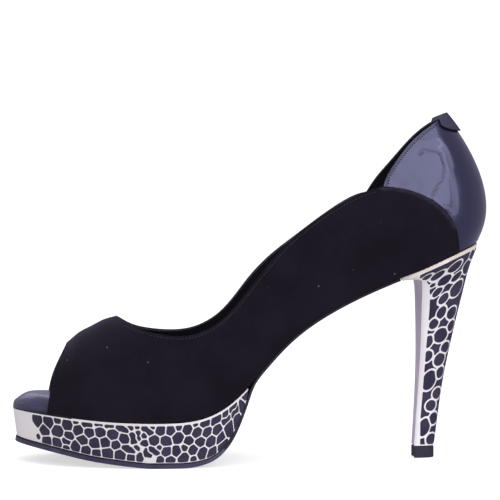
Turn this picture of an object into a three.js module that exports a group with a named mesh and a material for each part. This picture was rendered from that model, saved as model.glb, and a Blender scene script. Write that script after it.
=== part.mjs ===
// An open-toe platform court shoe for the left foot: a suede upper with a scalloped topline, a patent
// counter under its rounded back edge, a padded insole that shows at the open toe, a covered platform,
// a leather outsole and a tapered heel with its top piece.
//
// Millimetres, +Z up, the toe towards -X and the outer (lateral) side towards -Y. The origin is on the
// floor, on the flat tread under the ball of the foot.
//
// Every piece is worked out from the last: a plan outline, a feather line (the edge where the upper
// meets the sole) and half sections that rise from that line to the ridge of the last.
import * as THREE from "three";

// Driving dimensions of the last
const footprintLength = 219.5;
const toeReach = 76.5;
const ballWidth = 78;
const waistWidth = 44;
const seatWidth = 50;
const toeRound = 34;
const toeShift = 4;
const seatHeight = 102;
const stackHeight = 20.9;
const toeLift = 4.1;
const instepHeight = 75;
const counterSwell = 10.5;

// Driving dimensions of the upper. A place along the foot is a share of the footprint's length
const quarterHeight = 47;
const backHeight = 65.5;
const throatSetback = footprintLength * 0.2219;
const toeOpeningHeight = 33.4;
const toeOpeningSetback = footprintLength * 0.0747;
const toeOpeningLean = 10;
const medialAdvance = 0.5;
const vampWall = 1.8;
const counterWall = 2.7;
const overlayStep = 0.7;
const patentThickness = 0.8;
const overlayTopSetback = footprintLength * 0.779;
const medialOverlayTopSetback = footprintLength * 0.7681;
const overlayFootSetback = footprintLength * 0.9449;
const tabDrop = 9.8;
const tabHalfWidth = 30;
const tabThickness = 0.6;
const tabInnerDrop = 5;
const tabLiningGap = 0.7;

// Driving dimensions of the sole and heel
const toeSpring = 9.2;
const outsoleThickness = 2;
const shankThickness = 1.1;
const platformDraft = 1.8;
const platformEndDraft = 0.6;
const platformThinnest = 0.8;
const outsoleMargin = 0.5;
const shankInset = 0.9;
const platformEnd = footprintLength * 0.5103;
const insoleToeThickness = 5.6;
const insoleThickness = 3;
const insoleCrown = 0.7;
const insoleToeCrown = 1.1;
const insoleEdgeRound = 1.1;
const insoleToeInset = 0.3;
const insoleSideGap = 0.7;
const insoleNarrowing = 9;
const insoleThinning = 30;
const heelFront = footprintLength * 0.8205;
const heelInset = 0.8;
const heelTipDepth = 10;
const heelTipWidth = 10.4;
const heelTipBack = footprintLength * 0.9043;
const topPieceHeight = 5.4;
const topPieceEdge = 0.35;
const breastHollow = 0.6;
const clearance = 0.3;

// Sizes that follow
const toeX = -toeReach;
const ballHalf = ballWidth / 2;
const waistHalf = waistWidth / 2;
const seatRadius = seatWidth / 2;
const heelPoleX = toeX + footprintLength - seatRadius;
const heelRise = seatHeight - stackHeight;
const lastEnd = heelPoleX + (seatRadius * Math.PI) / 2;
const LATERAL = -1;
const MEDIAL = 1;

// A smooth curve through the rows of a table, without overshoot between them.
function through(rows, column) {
  const x = rows.map((row) => row.at);
  const y = rows.map((row) => (row.of ?? 1) * row[column]);
  const slope = x.slice(1).map((next, i) => (y[i + 1] - y[i]) / (next - x[i]));
  const tangent = x.map((_, i) => {
    if (i === 0) return slope[0];
    if (i === x.length - 1) return slope[i - 1];
    if (slope[i - 1] * slope[i] <= 0) return 0;
    return (2 * slope[i - 1] * slope[i]) / (slope[i - 1] + slope[i]);
  });
  return (at) => {
    if (at <= x[0]) return y[0] + tangent[0] * (at - x[0]);
    const last = x.length - 1;
    if (at >= x[last]) return y[last] + tangent[last] * (at - x[last]);
    let i = 0;
    while (at > x[i + 1]) i++;
    const h = x[i + 1] - x[i];
    const t = (at - x[i]) / h;
    const a = 2 * t ** 3 - 3 * t ** 2 + 1;
    const b = t ** 3 - 2 * t ** 2 + t;
    const c = -2 * t ** 3 + 3 * t ** 2;
    const d = t ** 3 - t ** 2;
    return a * y[i] + b * h * tangent[i] + c * y[i + 1] + d * h * tangent[i + 1];
  };
}
const shareOf = (x) => (x - toeX) / footprintLength;
const along = (distance) => toeX + distance;
const mix = (a, b, t) => a + (b - a) * t;
const smooth = (t) => {
  const u = Math.min(1, Math.max(0, t));
  return u * u * (3 - 2 * u);
};
const point = ([x, y], z) => new THREE.Vector3(x, y, z);

// Plan outline: half widths from the centre line, at shares of the footprint's length
const plan = [
  { at: 0, lateral: 0.68, medial: 0.63, of: ballHalf },
  { at: 0.034, lateral: 0.745, medial: 0.705, of: ballHalf },
  { at: 0.071, lateral: 0.825, medial: 0.77, of: ballHalf },
  { at: 0.121, lateral: 0.872, medial: 0.83, of: ballHalf },
  { at: 0.175, lateral: 0.938, medial: 0.913, of: ballHalf },
  { at: 0.239, lateral: 0.992, medial: 0.977, of: ballHalf },
  { at: 0.303, lateral: 1.008, medial: 0.982, of: ballHalf },
  { at: 0.367, lateral: 0.99, medial: 0.908, of: ballHalf },
  { at: 0.43, lateral: 0.923, medial: 0.785, of: ballHalf },
  { at: 0.494, lateral: 1.445, medial: 1.18, of: waistHalf },
  { at: 0.567, lateral: 1.227, medial: 1.01, of: waistHalf },
  { at: 0.649, lateral: 1.09, medial: 0.936, of: waistHalf },
  { at: 0.74, lateral: 1.064, medial: 0.99, of: waistHalf },
  { at: 0.822, lateral: 0.984, medial: 0.96, of: seatRadius },
  { at: shareOf(heelPoleX), lateral: 1, medial: 1, of: seatRadius },
];
const lateralHalf = through(plan, "lateral");
const medialHalf = through(plan, "medial");
const centreLine = (x) => toeShift * (1 - smooth((x - toeX) / (toeReach * 0.95)));

// The outline's half width at x, closed at the toe by a quarter ellipse.
function halfWidth(side, x) {
  const short = Math.max(0, 1 - (x - toeX) / toeRound);
  const rounding = Math.sqrt(Math.max(0, 1 - short * short));
  return (side === LATERAL ? lateralHalf : medialHalf)(shareOf(x)) * rounding;
}

// A point of the plan outline. A station is x as far as the heel's pole and then the arc round the seat.
function footprint(side, station, inset = 0) {
  if (station > heelPoleX) {
    const turn = (station - heelPoleX) / seatRadius;
    const radius = seatRadius - inset;
    return [heelPoleX + radius * Math.sin(turn), side * radius * Math.cos(turn)];
  }
  const y = (x) => centreLine(x) + side * halfWidth(side, x);
  const step = Math.min(0.2, (station - toeX) / 2);
  const dy = (y(station + step) - y(station - step)) / (2 * step || 1);
  const length = Math.hypot(1, dy);
  return [
    station + (side * dy * inset) / length,
    y(station) - (side * inset) / length,
  ];
}

// Feather line: the toe's lift, then the arch up to the seat
const featherRows = [
  { at: 0, toe: 1, rise: 0 },
  { at: 0.075, toe: 0.757, rise: 0 },
  { at: 0.144, toe: 0.39, rise: 0 },
  { at: 0.226, toe: 0.08, rise: 0 },
  { at: 0.289, toe: 0, rise: 0 },
  { at: 0.339, toe: 0, rise: 0.001 },
  { at: 0.376, toe: 0, rise: 0.01 },
  { at: 0.403, toe: 0, rise: 0.026 },
  { at: 0.431, toe: 0, rise: 0.056 },
  { at: 0.458, toe: 0, rise: 0.101 },
  { at: 0.485, toe: 0, rise: 0.164 },
  { at: 0.512, toe: 0, rise: 0.242 },
  { at: 0.54, toe: 0, rise: 0.326 },
  { at: 0.572, toe: 0, rise: 0.419 },
  { at: 0.622, toe: 0, rise: 0.53 },
  { at: 0.677, toe: 0, rise: 0.623 },
  { at: 0.727, toe: 0, rise: 0.693 },
  { at: 0.777, toe: 0, rise: 0.755 },
  { at: 0.814, toe: 0, rise: 0.797 },
  { at: 0.859, toe: 0, rise: 0.842 },
  { at: 0.9, toe: 0, rise: 0.891 },
  { at: 0.945, toe: 0, rise: 0.944 },
  { at: 1, toe: 0, rise: 1 },
];
const toeShare = through(featherRows, "toe");
const riseShare = through(featherRows, "rise");
const feather = (x) =>
  stackHeight + toeLift * toeShare(shareOf(x)) + heelRise * riseShare(shareOf(x));

// Half sections of the last, as cubic curves from the feather line up to the ridge: how far the wall
// swells out and how high, how wide the crown is and how high, and the ridge's own height
const sections = [
  { at: 0, swell: 0.1, swellAt: 0.5, crown: 0.5, crownAt: 1, ridge: 0.12 },
  { at: 0.075, swell: 0.16, swellAt: 0.5, crown: 0.56, crownAt: 1, ridge: 0.34 },
  { at: 0.119, swell: 0.18, swellAt: 0.52, crown: 0.58, crownAt: 1, ridge: 0.431 },
  { at: 0.145, swell: 0.18, swellAt: 0.53, crown: 0.56, crownAt: 1, ridge: 0.505 },
  { at: 0.171, swell: 0.18, swellAt: 0.54, crown: 0.54, crownAt: 1, ridge: 0.546 },
  { at: 0.196, swell: 0.17, swellAt: 0.55, crown: 0.52, crownAt: 1, ridge: 0.592 },
  { at: 0.222, swell: 0.16, swellAt: 0.55, crown: 0.5, crownAt: 1, ridge: 0.616 },
  { at: 0.28, swell: 0.1, swellAt: 0.55, crown: 0.48, crownAt: 1, ridge: 0.69 },
  { at: 0.35, swell: 0.08, swellAt: 0.55, crown: 0.5, crownAt: 1, ridge: 0.79 },
  { at: 0.44, swell: 0.22, swellAt: 0.52, crown: 0.62, crownAt: 1, ridge: 0.91 },
  { at: 0.53, swell: 0.5, swellAt: 0.5, crown: 0.8, crownAt: 0.98, ridge: 0.92 },
  { at: 0.63, swell: 0.78, swellAt: 0.47, crown: 0.92, crownAt: 0.95, ridge: 0.92 },
  { at: 0.73, swell: 0.86, swellAt: 0.43, crown: 0.9, crownAt: 0.9, ridge: 0.95 },
  { at: 0.82, swell: 0.78, swellAt: 0.38, crown: 0.84, crownAt: 0.84, ridge: 0.99 },
  { at: 0.9, swell: 0.88, swellAt: 0.34, crown: 0.84, crownAt: 0.81, ridge: 1.01 },
  { at: 1, swell: 1.36, swellAt: 0.31, crown: 0.7, crownAt: 0.8, ridge: 0.933 },
];
const swellOut = through(sections, "swell");
const swellAt = through(sections, "swellAt");
const crownShare = through(sections, "crown");
const crownAt = through(sections, "crownAt");
const ridgeShare = through(sections, "ridge");
const poleHeight = seatHeight + instepHeight * ridgeShare(1);
function ridge(x) {
  const own = feather(x) + instepHeight * ridgeShare(shareOf(x));
  return mix(own, poleHeight, smooth((shareOf(x) - 0.62) / 0.26));
}

// A point of the last: side, station along the outline, and q from 0 at the feather to 1 at the ridge.
function last(side, station, q) {
  const [x, y] = footprint(side, station);
  const foot = feather(x);
  const ridgeX = Math.min(x, heelPoleX);
  const ridgeY = centreLine(ridgeX);
  const top = station > heelPoleX ? poleHeight : ridge(x);
  const reach = Math.hypot(x - ridgeX, y - ridgeY) || 1;
  const outX = (x - ridgeX) / reach;
  const outY = (y - ridgeY) / reach;
  const at = shareOf(x);
  const swell = counterSwell * swellOut(at);
  const crown = seatRadius * crownShare(at) * (reach / seatRadius) ** (at < 0.45 ? 1 : 0.5);
  const out = [reach, reach + swell, crown, 0];
  const up = [
    foot,
    mix(foot, top, swellAt(at)),
    mix(foot, top, crownAt(at)),
    top,
  ];
  const p = 1 - q;
  const weight = [p ** 3, 3 * p * p * q, 3 * p * q * q, q ** 3];
  const away = weight.reduce((sum, w, i) => sum + w * out[i], 0);
  const z = weight.reduce((sum, w, i) => sum + w * up[i], 0);
  return new THREE.Vector3(ridgeX + outX * away, ridgeY + outY * away, z);
}

// The same point moved along the surface's outward normal.
function offsetLast(side, station, q, distance) {
  const e = 0.01;
  const s0 = Math.min(station, lastEnd - e);
  const q0 = Math.min(q, 1 - e);
  const alongIt = last(side, s0 + e, q).sub(last(side, s0 - e, q));
  const upIt = last(side, station, q0 + e).sub(last(side, station, Math.max(0, q0 - e)));
  const normal = alongIt.cross(upIt).normalize();
  return last(side, station, q).addScaledVector(normal, -side * distance);
}

// The value between low and high where a rising function crosses zero.
function crossing(f, low, high) {
  for (let i = 0; i < 40; i++) {
    const middle = (low + high) / 2;
    if (f(middle) < 0) low = middle;
    else high = middle;
  }
  return (low + high) / 2;
}

// Topline: how high the wall stands over the feather line
const throatX = along(throatSetback);
const throatHeight = ridge(throatX) - feather(throatX);
const lateralTopline = [
  { at: shareOf(throatX), height: 1, of: throatHeight },
  { at: 0.239, height: 0.94, of: quarterHeight },
  { at: 0.262, height: 0.895, of: quarterHeight },
  { at: 0.302, height: 0.852, of: quarterHeight },
  { at: 0.339, height: 0.822, of: quarterHeight },
  { at: 0.372, height: 0.817, of: quarterHeight },
  { at: 0.4, height: 0.828, of: quarterHeight },
  { at: 0.43, height: 0.852, of: quarterHeight },
  { at: 0.467, height: 0.896, of: quarterHeight },
  { at: 0.492, height: 0.934, of: quarterHeight },
  { at: 0.53, height: 0.963, of: quarterHeight },
  { at: 0.59, height: 0.98, of: quarterHeight },
  { at: 0.66, height: 0.992, of: quarterHeight },
  { at: 0.715, height: 1.008, of: quarterHeight },
  { at: 0.745, height: 1.004, of: quarterHeight },
  { at: 0.765, height: 0.984, of: quarterHeight },
  { at: 0.778, height: 0.973, of: quarterHeight },
  { at: 0.788, height: 0.764, of: backHeight },
  { at: 0.8, height: 0.808, of: backHeight },
  { at: 0.814, height: 0.853, of: backHeight },
  { at: 0.831, height: 0.905, of: backHeight },
  { at: 0.847, height: 0.943, of: backHeight },
  { at: 0.867, height: 0.971, of: backHeight },
  { at: 0.887, height: 0.989, of: backHeight },
  { at: 0.907, height: 0.999, of: backHeight },
  { at: 0.924, height: 1, of: backHeight },
];
const medialTopline = [
  { at: shareOf(throatX), height: 1, of: throatHeight },
  { at: 0.242, height: 0.917, of: quarterHeight },
  { at: 0.265, height: 0.863, of: quarterHeight },
  { at: 0.295, height: 0.832, of: quarterHeight },
  { at: 0.322, height: 0.813, of: quarterHeight },
  { at: 0.349, height: 0.805, of: quarterHeight },
  { at: 0.379, height: 0.799, of: quarterHeight },
  { at: 0.407, height: 0.811, of: quarterHeight },
  { at: 0.445, height: 0.838, of: quarterHeight },
  { at: 0.483, height: 0.898, of: quarterHeight },
  { at: 0.518, height: 0.941, of: quarterHeight },
  { at: 0.553, height: 0.925, of: quarterHeight },
  { at: 0.582, height: 0.9, of: quarterHeight },
  { at: 0.612, height: 0.889, of: quarterHeight },
  { at: 0.641, height: 0.898, of: quarterHeight },
  { at: 0.67, height: 0.917, of: quarterHeight },
  { at: 0.7, height: 0.935, of: quarterHeight },
  { at: 0.722, height: 0.948, of: quarterHeight },
  { at: 0.742, height: 0.952, of: quarterHeight },
  { at: 0.758, height: 0.94, of: quarterHeight },
  { at: 0.767, height: 0.935, of: quarterHeight },
  { at: 0.776, height: 0.7, of: backHeight },
  { at: 0.789, height: 0.748, of: backHeight },
  { at: 0.805, height: 0.788, of: backHeight },
  { at: 0.826, height: 0.843, of: backHeight },
  { at: 0.855, height: 0.927, of: backHeight },
  { at: 0.875, height: 0.968, of: backHeight },
  { at: 0.899, height: 0.995, of: backHeight },
  { at: 0.913, height: 1, of: backHeight },
  { at: 0.924, height: 1, of: backHeight },
];
const toplineHeight = {
  [LATERAL]: through(lateralTopline, "height"),
  [MEDIAL]: through(medialTopline, "height"),
};
const topline = (side, x) => feather(x) + toplineHeight[side](shareOf(x));

// q of the topline at a station
function toplineQ(side, station) {
  if (station <= throatX) return 1;
  const over = (q) => {
    const p = last(side, station, q);
    return p.z - topline(side, p.x);
  };
  return over(1) < 0 ? 1 : crossing(over, 0, 1);
}

// Open toe: the edge leans back as it rises from the feather line to the ridge
const toeEdgeRows = [
  { at: 0, back: 0 },
  { at: 0.35, back: 0.17 },
  { at: 0.55, back: 0.4 },
  { at: 0.8, back: 0.76 },
  { at: 1, back: 1 },
];
const toeEdgeBack = through(toeEdgeRows, "back");
function toeEdgeStation(side, q) {
  const advance = side === MEDIAL ? medialAdvance * (1 - q) : 0;
  let x = along(toeOpeningSetback);
  for (let i = 0; i < 30; i++) {
    const height = (last(side, x, q).z - feather(x)) / toeOpeningHeight;
    x = along(toeOpeningSetback) + toeOpeningLean * toeEdgeBack(height) - advance;
  }
  return x;
}

// Where a point seen from the side, at x and z, lies on the last
function onLast(side, x, z) {
  const rising = (station) => {
    const q = crossing((t) => last(side, station, t).z - z, 0, 0.9);
    return { q, x: last(side, station, q).x };
  };
  const station = crossing((s) => rising(s).x - x, along(footprintLength * 0.6), lastEnd);
  return { station, q: rising(station).q };
}

// A run of places on the last, spaced evenly along its length in three dimensions
function spaced(side, places, count) {
  const points = places.map((p) => last(side, p.station, p.q));
  const reached = [0];
  for (let i = 1; i < points.length; i++)
    reached.push(reached[i - 1] + points[i].distanceTo(points[i - 1]));
  const total = reached[reached.length - 1];
  const found = [];
  for (let k = 0; k <= count; k++) {
    const wanted = (total * k) / count;
    let i = 0;
    while (i < points.length - 2 && reached[i + 1] < wanted) i++;
    const t = (wanted - reached[i]) / (reached[i + 1] - reached[i] || 1);
    found.push({
      station: mix(places[i].station, places[i + 1].station, t),
      q: mix(places[i].q, places[i + 1].q, t),
    });
  }
  return found;
}

// The wall's columns on one side: each runs from the topline down to the toe's edge or the feather line
const vampColumns = 8;
const quarterColumns = 20;
const counterColumns = 10;
const rowsDown = 8;
const vampFanEnd = along(footprintLength * 0.31);
const overlayTop = {
  [LATERAL]: along(overlayTopSetback),
  [MEDIAL]: along(medialOverlayTopSetback),
};
const overlayFootStation =
  heelPoleX + seatRadius * Math.asin((along(overlayFootSetback) - heelPoleX) / seatRadius);
const samples = 120;
function run(from, to, place) {
  return Array.from({ length: samples + 1 }, (_, i) => place(mix(from, to, i / samples)));
}

function wallColumns(side) {
  const onTopline = (station) => ({ station, q: toplineQ(side, station) });
  const onFeather = (station) => ({ station, q: 0 });
  const toeCorner = toeEdgeStation(side, 0);
  const starts = [
    ...spaced(
      side,
      run(0, 1, (t) => onTopline(mix(throatX, vampFanEnd, t * t))),
      vampColumns,
    ),
    ...spaced(side, run(vampFanEnd, overlayTop[side], onTopline), quarterColumns).slice(1),
    ...spaced(side, run(overlayTop[side], lastEnd, onTopline), counterColumns).slice(1),
  ];
  const ends = [
    ...spaced(
      side,
      run(1, 0, (q) => ({ station: toeEdgeStation(side, q), q })),
      vampColumns,
    ),
    ...spaced(side, run(toeCorner, overlayFootStation, onFeather), quarterColumns).slice(1),
    ...spaced(side, run(overlayFootStation, lastEnd, onFeather), counterColumns).slice(1),
  ];
  // The suede's rounded back edge, a quarter ellipse seen from the side
  const edge = vampColumns + quarterColumns;
  const top = last(side, starts[edge].station, starts[edge].q);
  const foot = last(side, ends[edge].station, 0);
  const bow = Array.from({ length: rowsDown + 1 }, (_, j) => {
    const t = j / rowsDown;
    if (j === 0 || j === rowsDown) return { station: 0, q: 0 };
    const turn = (t * Math.PI) / 2;
    const x = mix(top.x, foot.x, Math.sin(turn));
    const z = mix(foot.z, top.z, Math.cos(turn) ** 0.94);
    const place = onLast(side, x, z);
    return {
      station: place.station - mix(starts[edge].station, ends[edge].station, t),
      q: place.q - mix(starts[edge].q, ends[edge].q, t),
    };
  });
  return starts.map((start, k) => {
    const end = ends[k];
    const before = smooth((k - vampColumns) / quarterColumns) ** 1.5;
    const after = 1 - (k - edge) / counterColumns;
    const share = k <= edge ? before : after;
    return Array.from({ length: rowsDown + 1 }, (_, j) => ({
      station: mix(start.station, end.station, j / rowsDown) + share * bow[j].station,
      q: mix(start.q, end.q, j / rowsDown) + share * bow[j].q,
    }));
  });
}
const columns = { [LATERAL]: wallColumns(LATERAL), [MEDIAL]: wallColumns(MEDIAL) };
const overlayColumn = vampColumns + quarterColumns;
const backColumn = overlayColumn + counterColumns;
const wallAt = (station) =>
  mix(vampWall, counterWall, smooth((shareOf(station) - 0.35) / 0.4));

// A closed skin over rings of points. Rings close on themselves, or end in caps made of rungs between
// the ring's first half and its second. Faces are turned to point outwards.
function skin(rings, closed) {
  const size = rings[0].length;
  const position = rings.flat().flatMap((p) => [p.x, p.y, p.z]);
  const index = [];
  const quad = (a, b, c, d) => index.push(a, b, c, a, c, d);
  const spans = closed ? rings.length : rings.length - 1;
  for (let i = 0; i < spans; i++) {
    const here = i * size;
    const next = ((i + 1) % rings.length) * size;
    for (let j = 0; j < size; j++) {
      const k = (j + 1) % size;
      quad(here + j, next + j, next + k, here + k);
    }
  }
  if (!closed) {
    const end = (rings.length - 1) * size;
    for (let j = 0; j < size / 2 - 1; j++) {
      const across = size - 1 - j;
      quad(j, j + 1, across - 1, across);
      quad(end + across, end + across - 1, end + j + 1, end + j);
    }
  }
  const point = (i) => new THREE.Vector3().fromArray(position, 3 * i);
  let volume = 0;
  for (let i = 0; i < index.length; i += 3) {
    const [a, b, c] = [0, 1, 2].map((n) => point(index[i + n]));
    volume += a.dot(b.cross(c));
  }
  if (volume < 0)
    for (let i = 0; i < index.length; i += 3)
      [index[i + 1], index[i + 2]] = [index[i + 2], index[i + 1]];
  const geometry = new THREE.BufferGeometry();
  geometry.setAttribute("position", new THREE.Float32BufferAttribute(position, 3));
  geometry.setIndex(index);
  geometry.computeVertexNormals();
  return geometry;
}

// One column of a wall as a ring: down the outer face and back up the inner one
function wallRing(side, column, outer, inner) {
  const down = column.map((p) => offsetLast(side, p.station, p.q, outer(p)));
  const back = column.map((p) => offsetLast(side, p.station, p.q, inner(p)));
  return [...down, ...back.reverse()];
}

// The upper: one hollow wall from the toe's edge round the heel, stepped in behind the suede's back edge
const patentOuter = -overlayStep;
const patentInner = patentOuter - patentThickness;
const linedOuter = patentInner - clearance;
const flush = () => 0;
const behindPatent = () => linedOuter;
const innerFace = (p) => -wallAt(p.station);
const stepWidth = 0.05;

// A column moved back along the wall
function nudged(column, distance) {
  return column.map((p) => ({ station: p.station + distance, q: p.q }));
}
function upperSide(side) {
  return columns[side].flatMap((column, k) => {
    if (k < overlayColumn) return [wallRing(side, column, flush, innerFace)];
    if (k > overlayColumn) return [wallRing(side, column, behindPatent, innerFace)];
    return [
      wallRing(side, column, flush, innerFace),
      wallRing(side, nudged(column, stepWidth), behindPatent, innerFace),
    ];
  });
}
function upperShape() {
  const lateral = upperSide(LATERAL);
  const medial = upperSide(MEDIAL);
  return skin([...lateral, ...medial.slice(1, -1).reverse()], true);
}

// The patent counter: fills the step from one overlay edge round the back to the other
function counterShape() {
  const patentRing = (side) => (column) =>
    wallRing(
      side,
      column,
      () => patentOuter,
      () => patentInner,
    );
  const halfOf = (side) => {
    const [first, ...others] = columns[side].slice(overlayColumn);
    return [nudged(first, stepWidth + clearance), ...others].map(patentRing(side));
  };
  return skin([...halfOf(LATERAL), ...halfOf(MEDIAL).slice(0, -1).reverse()], false);
}

// The tab: folded over the topline at the back seam, with rounded lower corners
const tabSpan = [1, 0.96, 0.88, 0.76, 0.6, 0.4, 0.2, 0];
function tabShape() {
  const tabOuter = patentOuter + clearance + tabThickness;
  const tabInner = patentOuter + clearance;
  const rise = clearance + tabThickness;
  const ring = (side, span) => {
    const station = lastEnd - tabHalfWidth * span;
    const q = toplineQ(side, station);
    const corner = Math.sqrt(1 - span ** 2.2 * 0.88);
    const perQ = last(side, station, q).distanceTo(last(side, station, q - 0.05)) / 0.05;
    const outside = (depth, offset) => offsetLast(side, station, q - depth / perQ, offset);
    const inside = -counterWall - tabLiningGap;
    const drop = tabDrop * corner;
    const innerDrop = tabInnerDrop * corner;
    const outerFace = [drop, drop * 0.66, drop * 0.33, 0, -rise].map((d) => outside(d, tabOuter));
    const overTop = outside(-rise, inside - tabThickness);
    const innerSide = [0, innerDrop * 0.5, innerDrop].map((d) =>
      outside(d, inside - tabThickness),
    );
    const lining = [innerDrop, innerDrop * 0.5, 0].map((d) => outside(d, inside));
    const under = [outside(-clearance, inside), outside(-clearance, tabInner)];
    const innerFaceUp = [0, drop * 0.33, drop * 0.66, drop].map((d) => outside(d, tabInner));
    return [...outerFace, overTop, ...innerSide, ...lining, ...under, ...innerFaceUp];
  };
  const lateral = tabSpan.map((span) => ring(LATERAL, span));
  const medial = tabSpan.slice(0, -1).map((span) => ring(MEDIAL, span));
  return skin([...lateral, ...medial.reverse()], false);
}

// A plate's cross-section as a ring: the top from the lateral edge to the medial one, then the bottom back
function plateRing(lateralTop, medialTop, lateralBottom, medialBottom, profile) {
  const top = profile.map((row) => {
    const p = lateralTop.clone().lerp(medialTop, row.across);
    p.z += row.over;
    return p;
  });
  const bottom = profile.map((row) => lateralBottom.clone().lerp(medialBottom, row.across));
  return [...top, ...bottom.reverse()];
}

// The insole: padded and wrapped, thick and nearly full width where the toe is open, narrower inside
const insoleStations = 52;
const insoleAcross = [
  { across: 0, round: 1, crown: 0 },
  { across: 0.03, round: 0.25, crown: 0.08 },
  { across: 0.12, round: 0, crown: 0.4 },
  { across: 0.3, round: 0, crown: 0.82 },
  { across: 0.5, round: 0, crown: 1 },
  { across: 0.7, round: 0, crown: 0.82 },
  { across: 0.88, round: 0, crown: 0.4 },
  { across: 0.97, round: 0.25, crown: 0.08 },
  { across: 1, round: 1, crown: 0 },
];
const insoleTipShare = 0.75;
function insoleShape() {
  const inside = along(toeOpeningSetback);
  const rings = Array.from({ length: insoleStations + 1 }, (_, i) => {
    const t = (1 - Math.cos((Math.PI * (i + 0.9)) / (insoleStations + 1))) / 2;
    const x = mix(toeX, lastEnd, t);
    const within = smooth((x - inside + insoleNarrowing + 2) / insoleNarrowing);
    const inset = mix(insoleToeInset, wallAt(x) + insoleSideGap, within);
    const thinned = smooth((x - inside) / insoleThinning);
    const thickness = mix(insoleToeThickness, insoleThickness, thinned);
    const flattened = smooth((0.75 * (x - inside)) / insoleThinning);
    const rolled = smooth((x - toeX) / insoleNarrowing);
    const crown = mix(insoleToeCrown, insoleCrown, flattened) * rolled;
    const profile = insoleAcross.map((row) => ({
      across: row.across,
      over: row.crown * crown - row.round * insoleEdgeRound,
    }));
    const place = (side, up) => {
      const at = footprint(side, x, inset);
      return point(at, feather(at[0]) + up);
    };
    const high = i === 0 ? thickness * insoleTipShare : thickness;
    return plateRing(
      place(LATERAL, high),
      place(MEDIAL, high),
      place(LATERAL, 0),
      place(MEDIAL, 0),
      profile,
    );
  });
  return skin(rings, false);
}

// The outsole's underside, seen from the side: toe spring, flat tread, the rise behind the platform
const treadRows = [
  { at: 0, spring: 1 },
  { at: 0.057, spring: 0.815 },
  { at: 0.107, spring: 0.61 },
  { at: 0.144, spring: 0.42 },
  { at: 0.18, spring: 0.28 },
  { at: 0.23, spring: 0.13 },
  { at: 0.284, spring: 0 },
];
const springShare = through(treadRows, "spring");
const treadFront = along(footprintLength * 0.284);
const treadBack = along(footprintLength * 0.356);
const featherSlope = (x) => feather(x + 0.5) - feather(x - 0.5);
const shankUnder = (x) =>
  feather(x) - (clearance + shankThickness) * Math.hypot(1, featherSlope(x));
const platformEndX = along(platformEnd);
const riseRows = [
  { at: 0, up: 0 },
  { at: 0.105, up: 0.006 },
  { at: 0.324, up: 0.045 },
  { at: 0.486, up: 0.112 },
  { at: 0.65, up: 0.258 },
  { at: 0.734, up: 0.375 },
  { at: 0.82, up: 0.545 },
  { at: 0.9, up: 0.735 },
  { at: 1, up: 1 },
];
const riseBehind = through(riseRows, "up");
function underside(x) {
  if (x <= treadFront) return toeSpring * springShare(shareOf(x));
  if (x <= treadBack) return 0;
  if (x >= platformEndX) return shankUnder(x);
  return shankUnder(platformEndX) * riseBehind((x - treadBack) / (platformEndX - treadBack));
}

// Stations along the sole, closer together at the toe and where it climbs
const outsoleEnd = along(heelFront) - clearance;
const solePath = [
  ...[0.15, 0.7, 1.8, 3.6, 6.2, 9.6, 14, 20, 27, 35, 43, 52].map(along),
  ...run(treadFront, treadBack, (x) => x).filter((_, i) => i % 30 === 0),
  ...run(treadBack, platformEndX, (x) => x).filter((_, i) => i > 0 && i % 8 === 0),
  ...run(platformEndX, outsoleEnd, (x) => x).filter((_, i) => i > 0 && i % 10 === 0),
];
const soleThickness = (x) =>
  mix(outsoleThickness, shankThickness, smooth((x - treadBack) / (platformEndX - treadBack)));

// How far a station's outline lies inside the last's, and the underside moved up by a distance
function soleInset(x) {
  const front = platformDraft - outsoleMargin;
  return mix(front, shankInset, smooth((x - treadBack) / (platformEndX - treadBack)));
}
function raised(i, distance) {
  const x = solePath[i];
  const before = solePath[Math.max(0, i - 1)];
  const after = solePath[Math.min(solePath.length - 1, i + 1)];
  const dx = after - before;
  const dz = underside(after) - underside(before);
  const length = Math.hypot(dx, dz);
  return { x: x - (dz / length) * distance, z: underside(x) + (dx / length) * distance };
}
const flatProfile = [0, 0.04, 0.5, 0.96, 1].map((across) => ({ across, over: 0 }));
function outsoleShape() {
  const rings = solePath.map((x, i) => {
    const under = raised(i, 0);
    const over = raised(i, soleThickness(x));
    const edge = (side, level) => {
      const [px, y] = footprint(side, x, soleInset(x));
      return point([level.x + px - x, y], level.z);
    };
    const corners = [edge(LATERAL, over), edge(MEDIAL, over), edge(LATERAL, under), edge(MEDIAL, under)];
    return plateRing(...corners, flatProfile);
  });
  return skin(rings, false);
}

// The platform: from the outsole up to the feather line, narrower below, and a wedge at its back
function platformShape() {
  const topAt = (x) => feather(Math.max(toeX, x)) - clearance;
  const rings = [];
  solePath.forEach((x, i) => {
    const low = raised(i, soleThickness(x) + clearance);
    if (x > platformEndX || topAt(low.x) - low.z < platformThinnest) return;
    const behind = smooth((x - treadBack) / (platformEndX - treadBack));
    const draft = mix(platformDraft, platformEndDraft, behind);
    const above = (side) => {
      const [px, y] = footprint(side, x, 0);
      const at = low.x + px - x;
      return point([at, y], topAt(at));
    };
    const below = (side) => {
      const [px, y] = footprint(side, x, draft);
      return point([low.x + px - x, y], low.z);
    };
    const corners = [above(LATERAL), above(MEDIAL), below(LATERAL), below(MEDIAL)];
    rings.push(plateRing(...corners, flatProfile));
  });
  return skin(rings, false);
}

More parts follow.
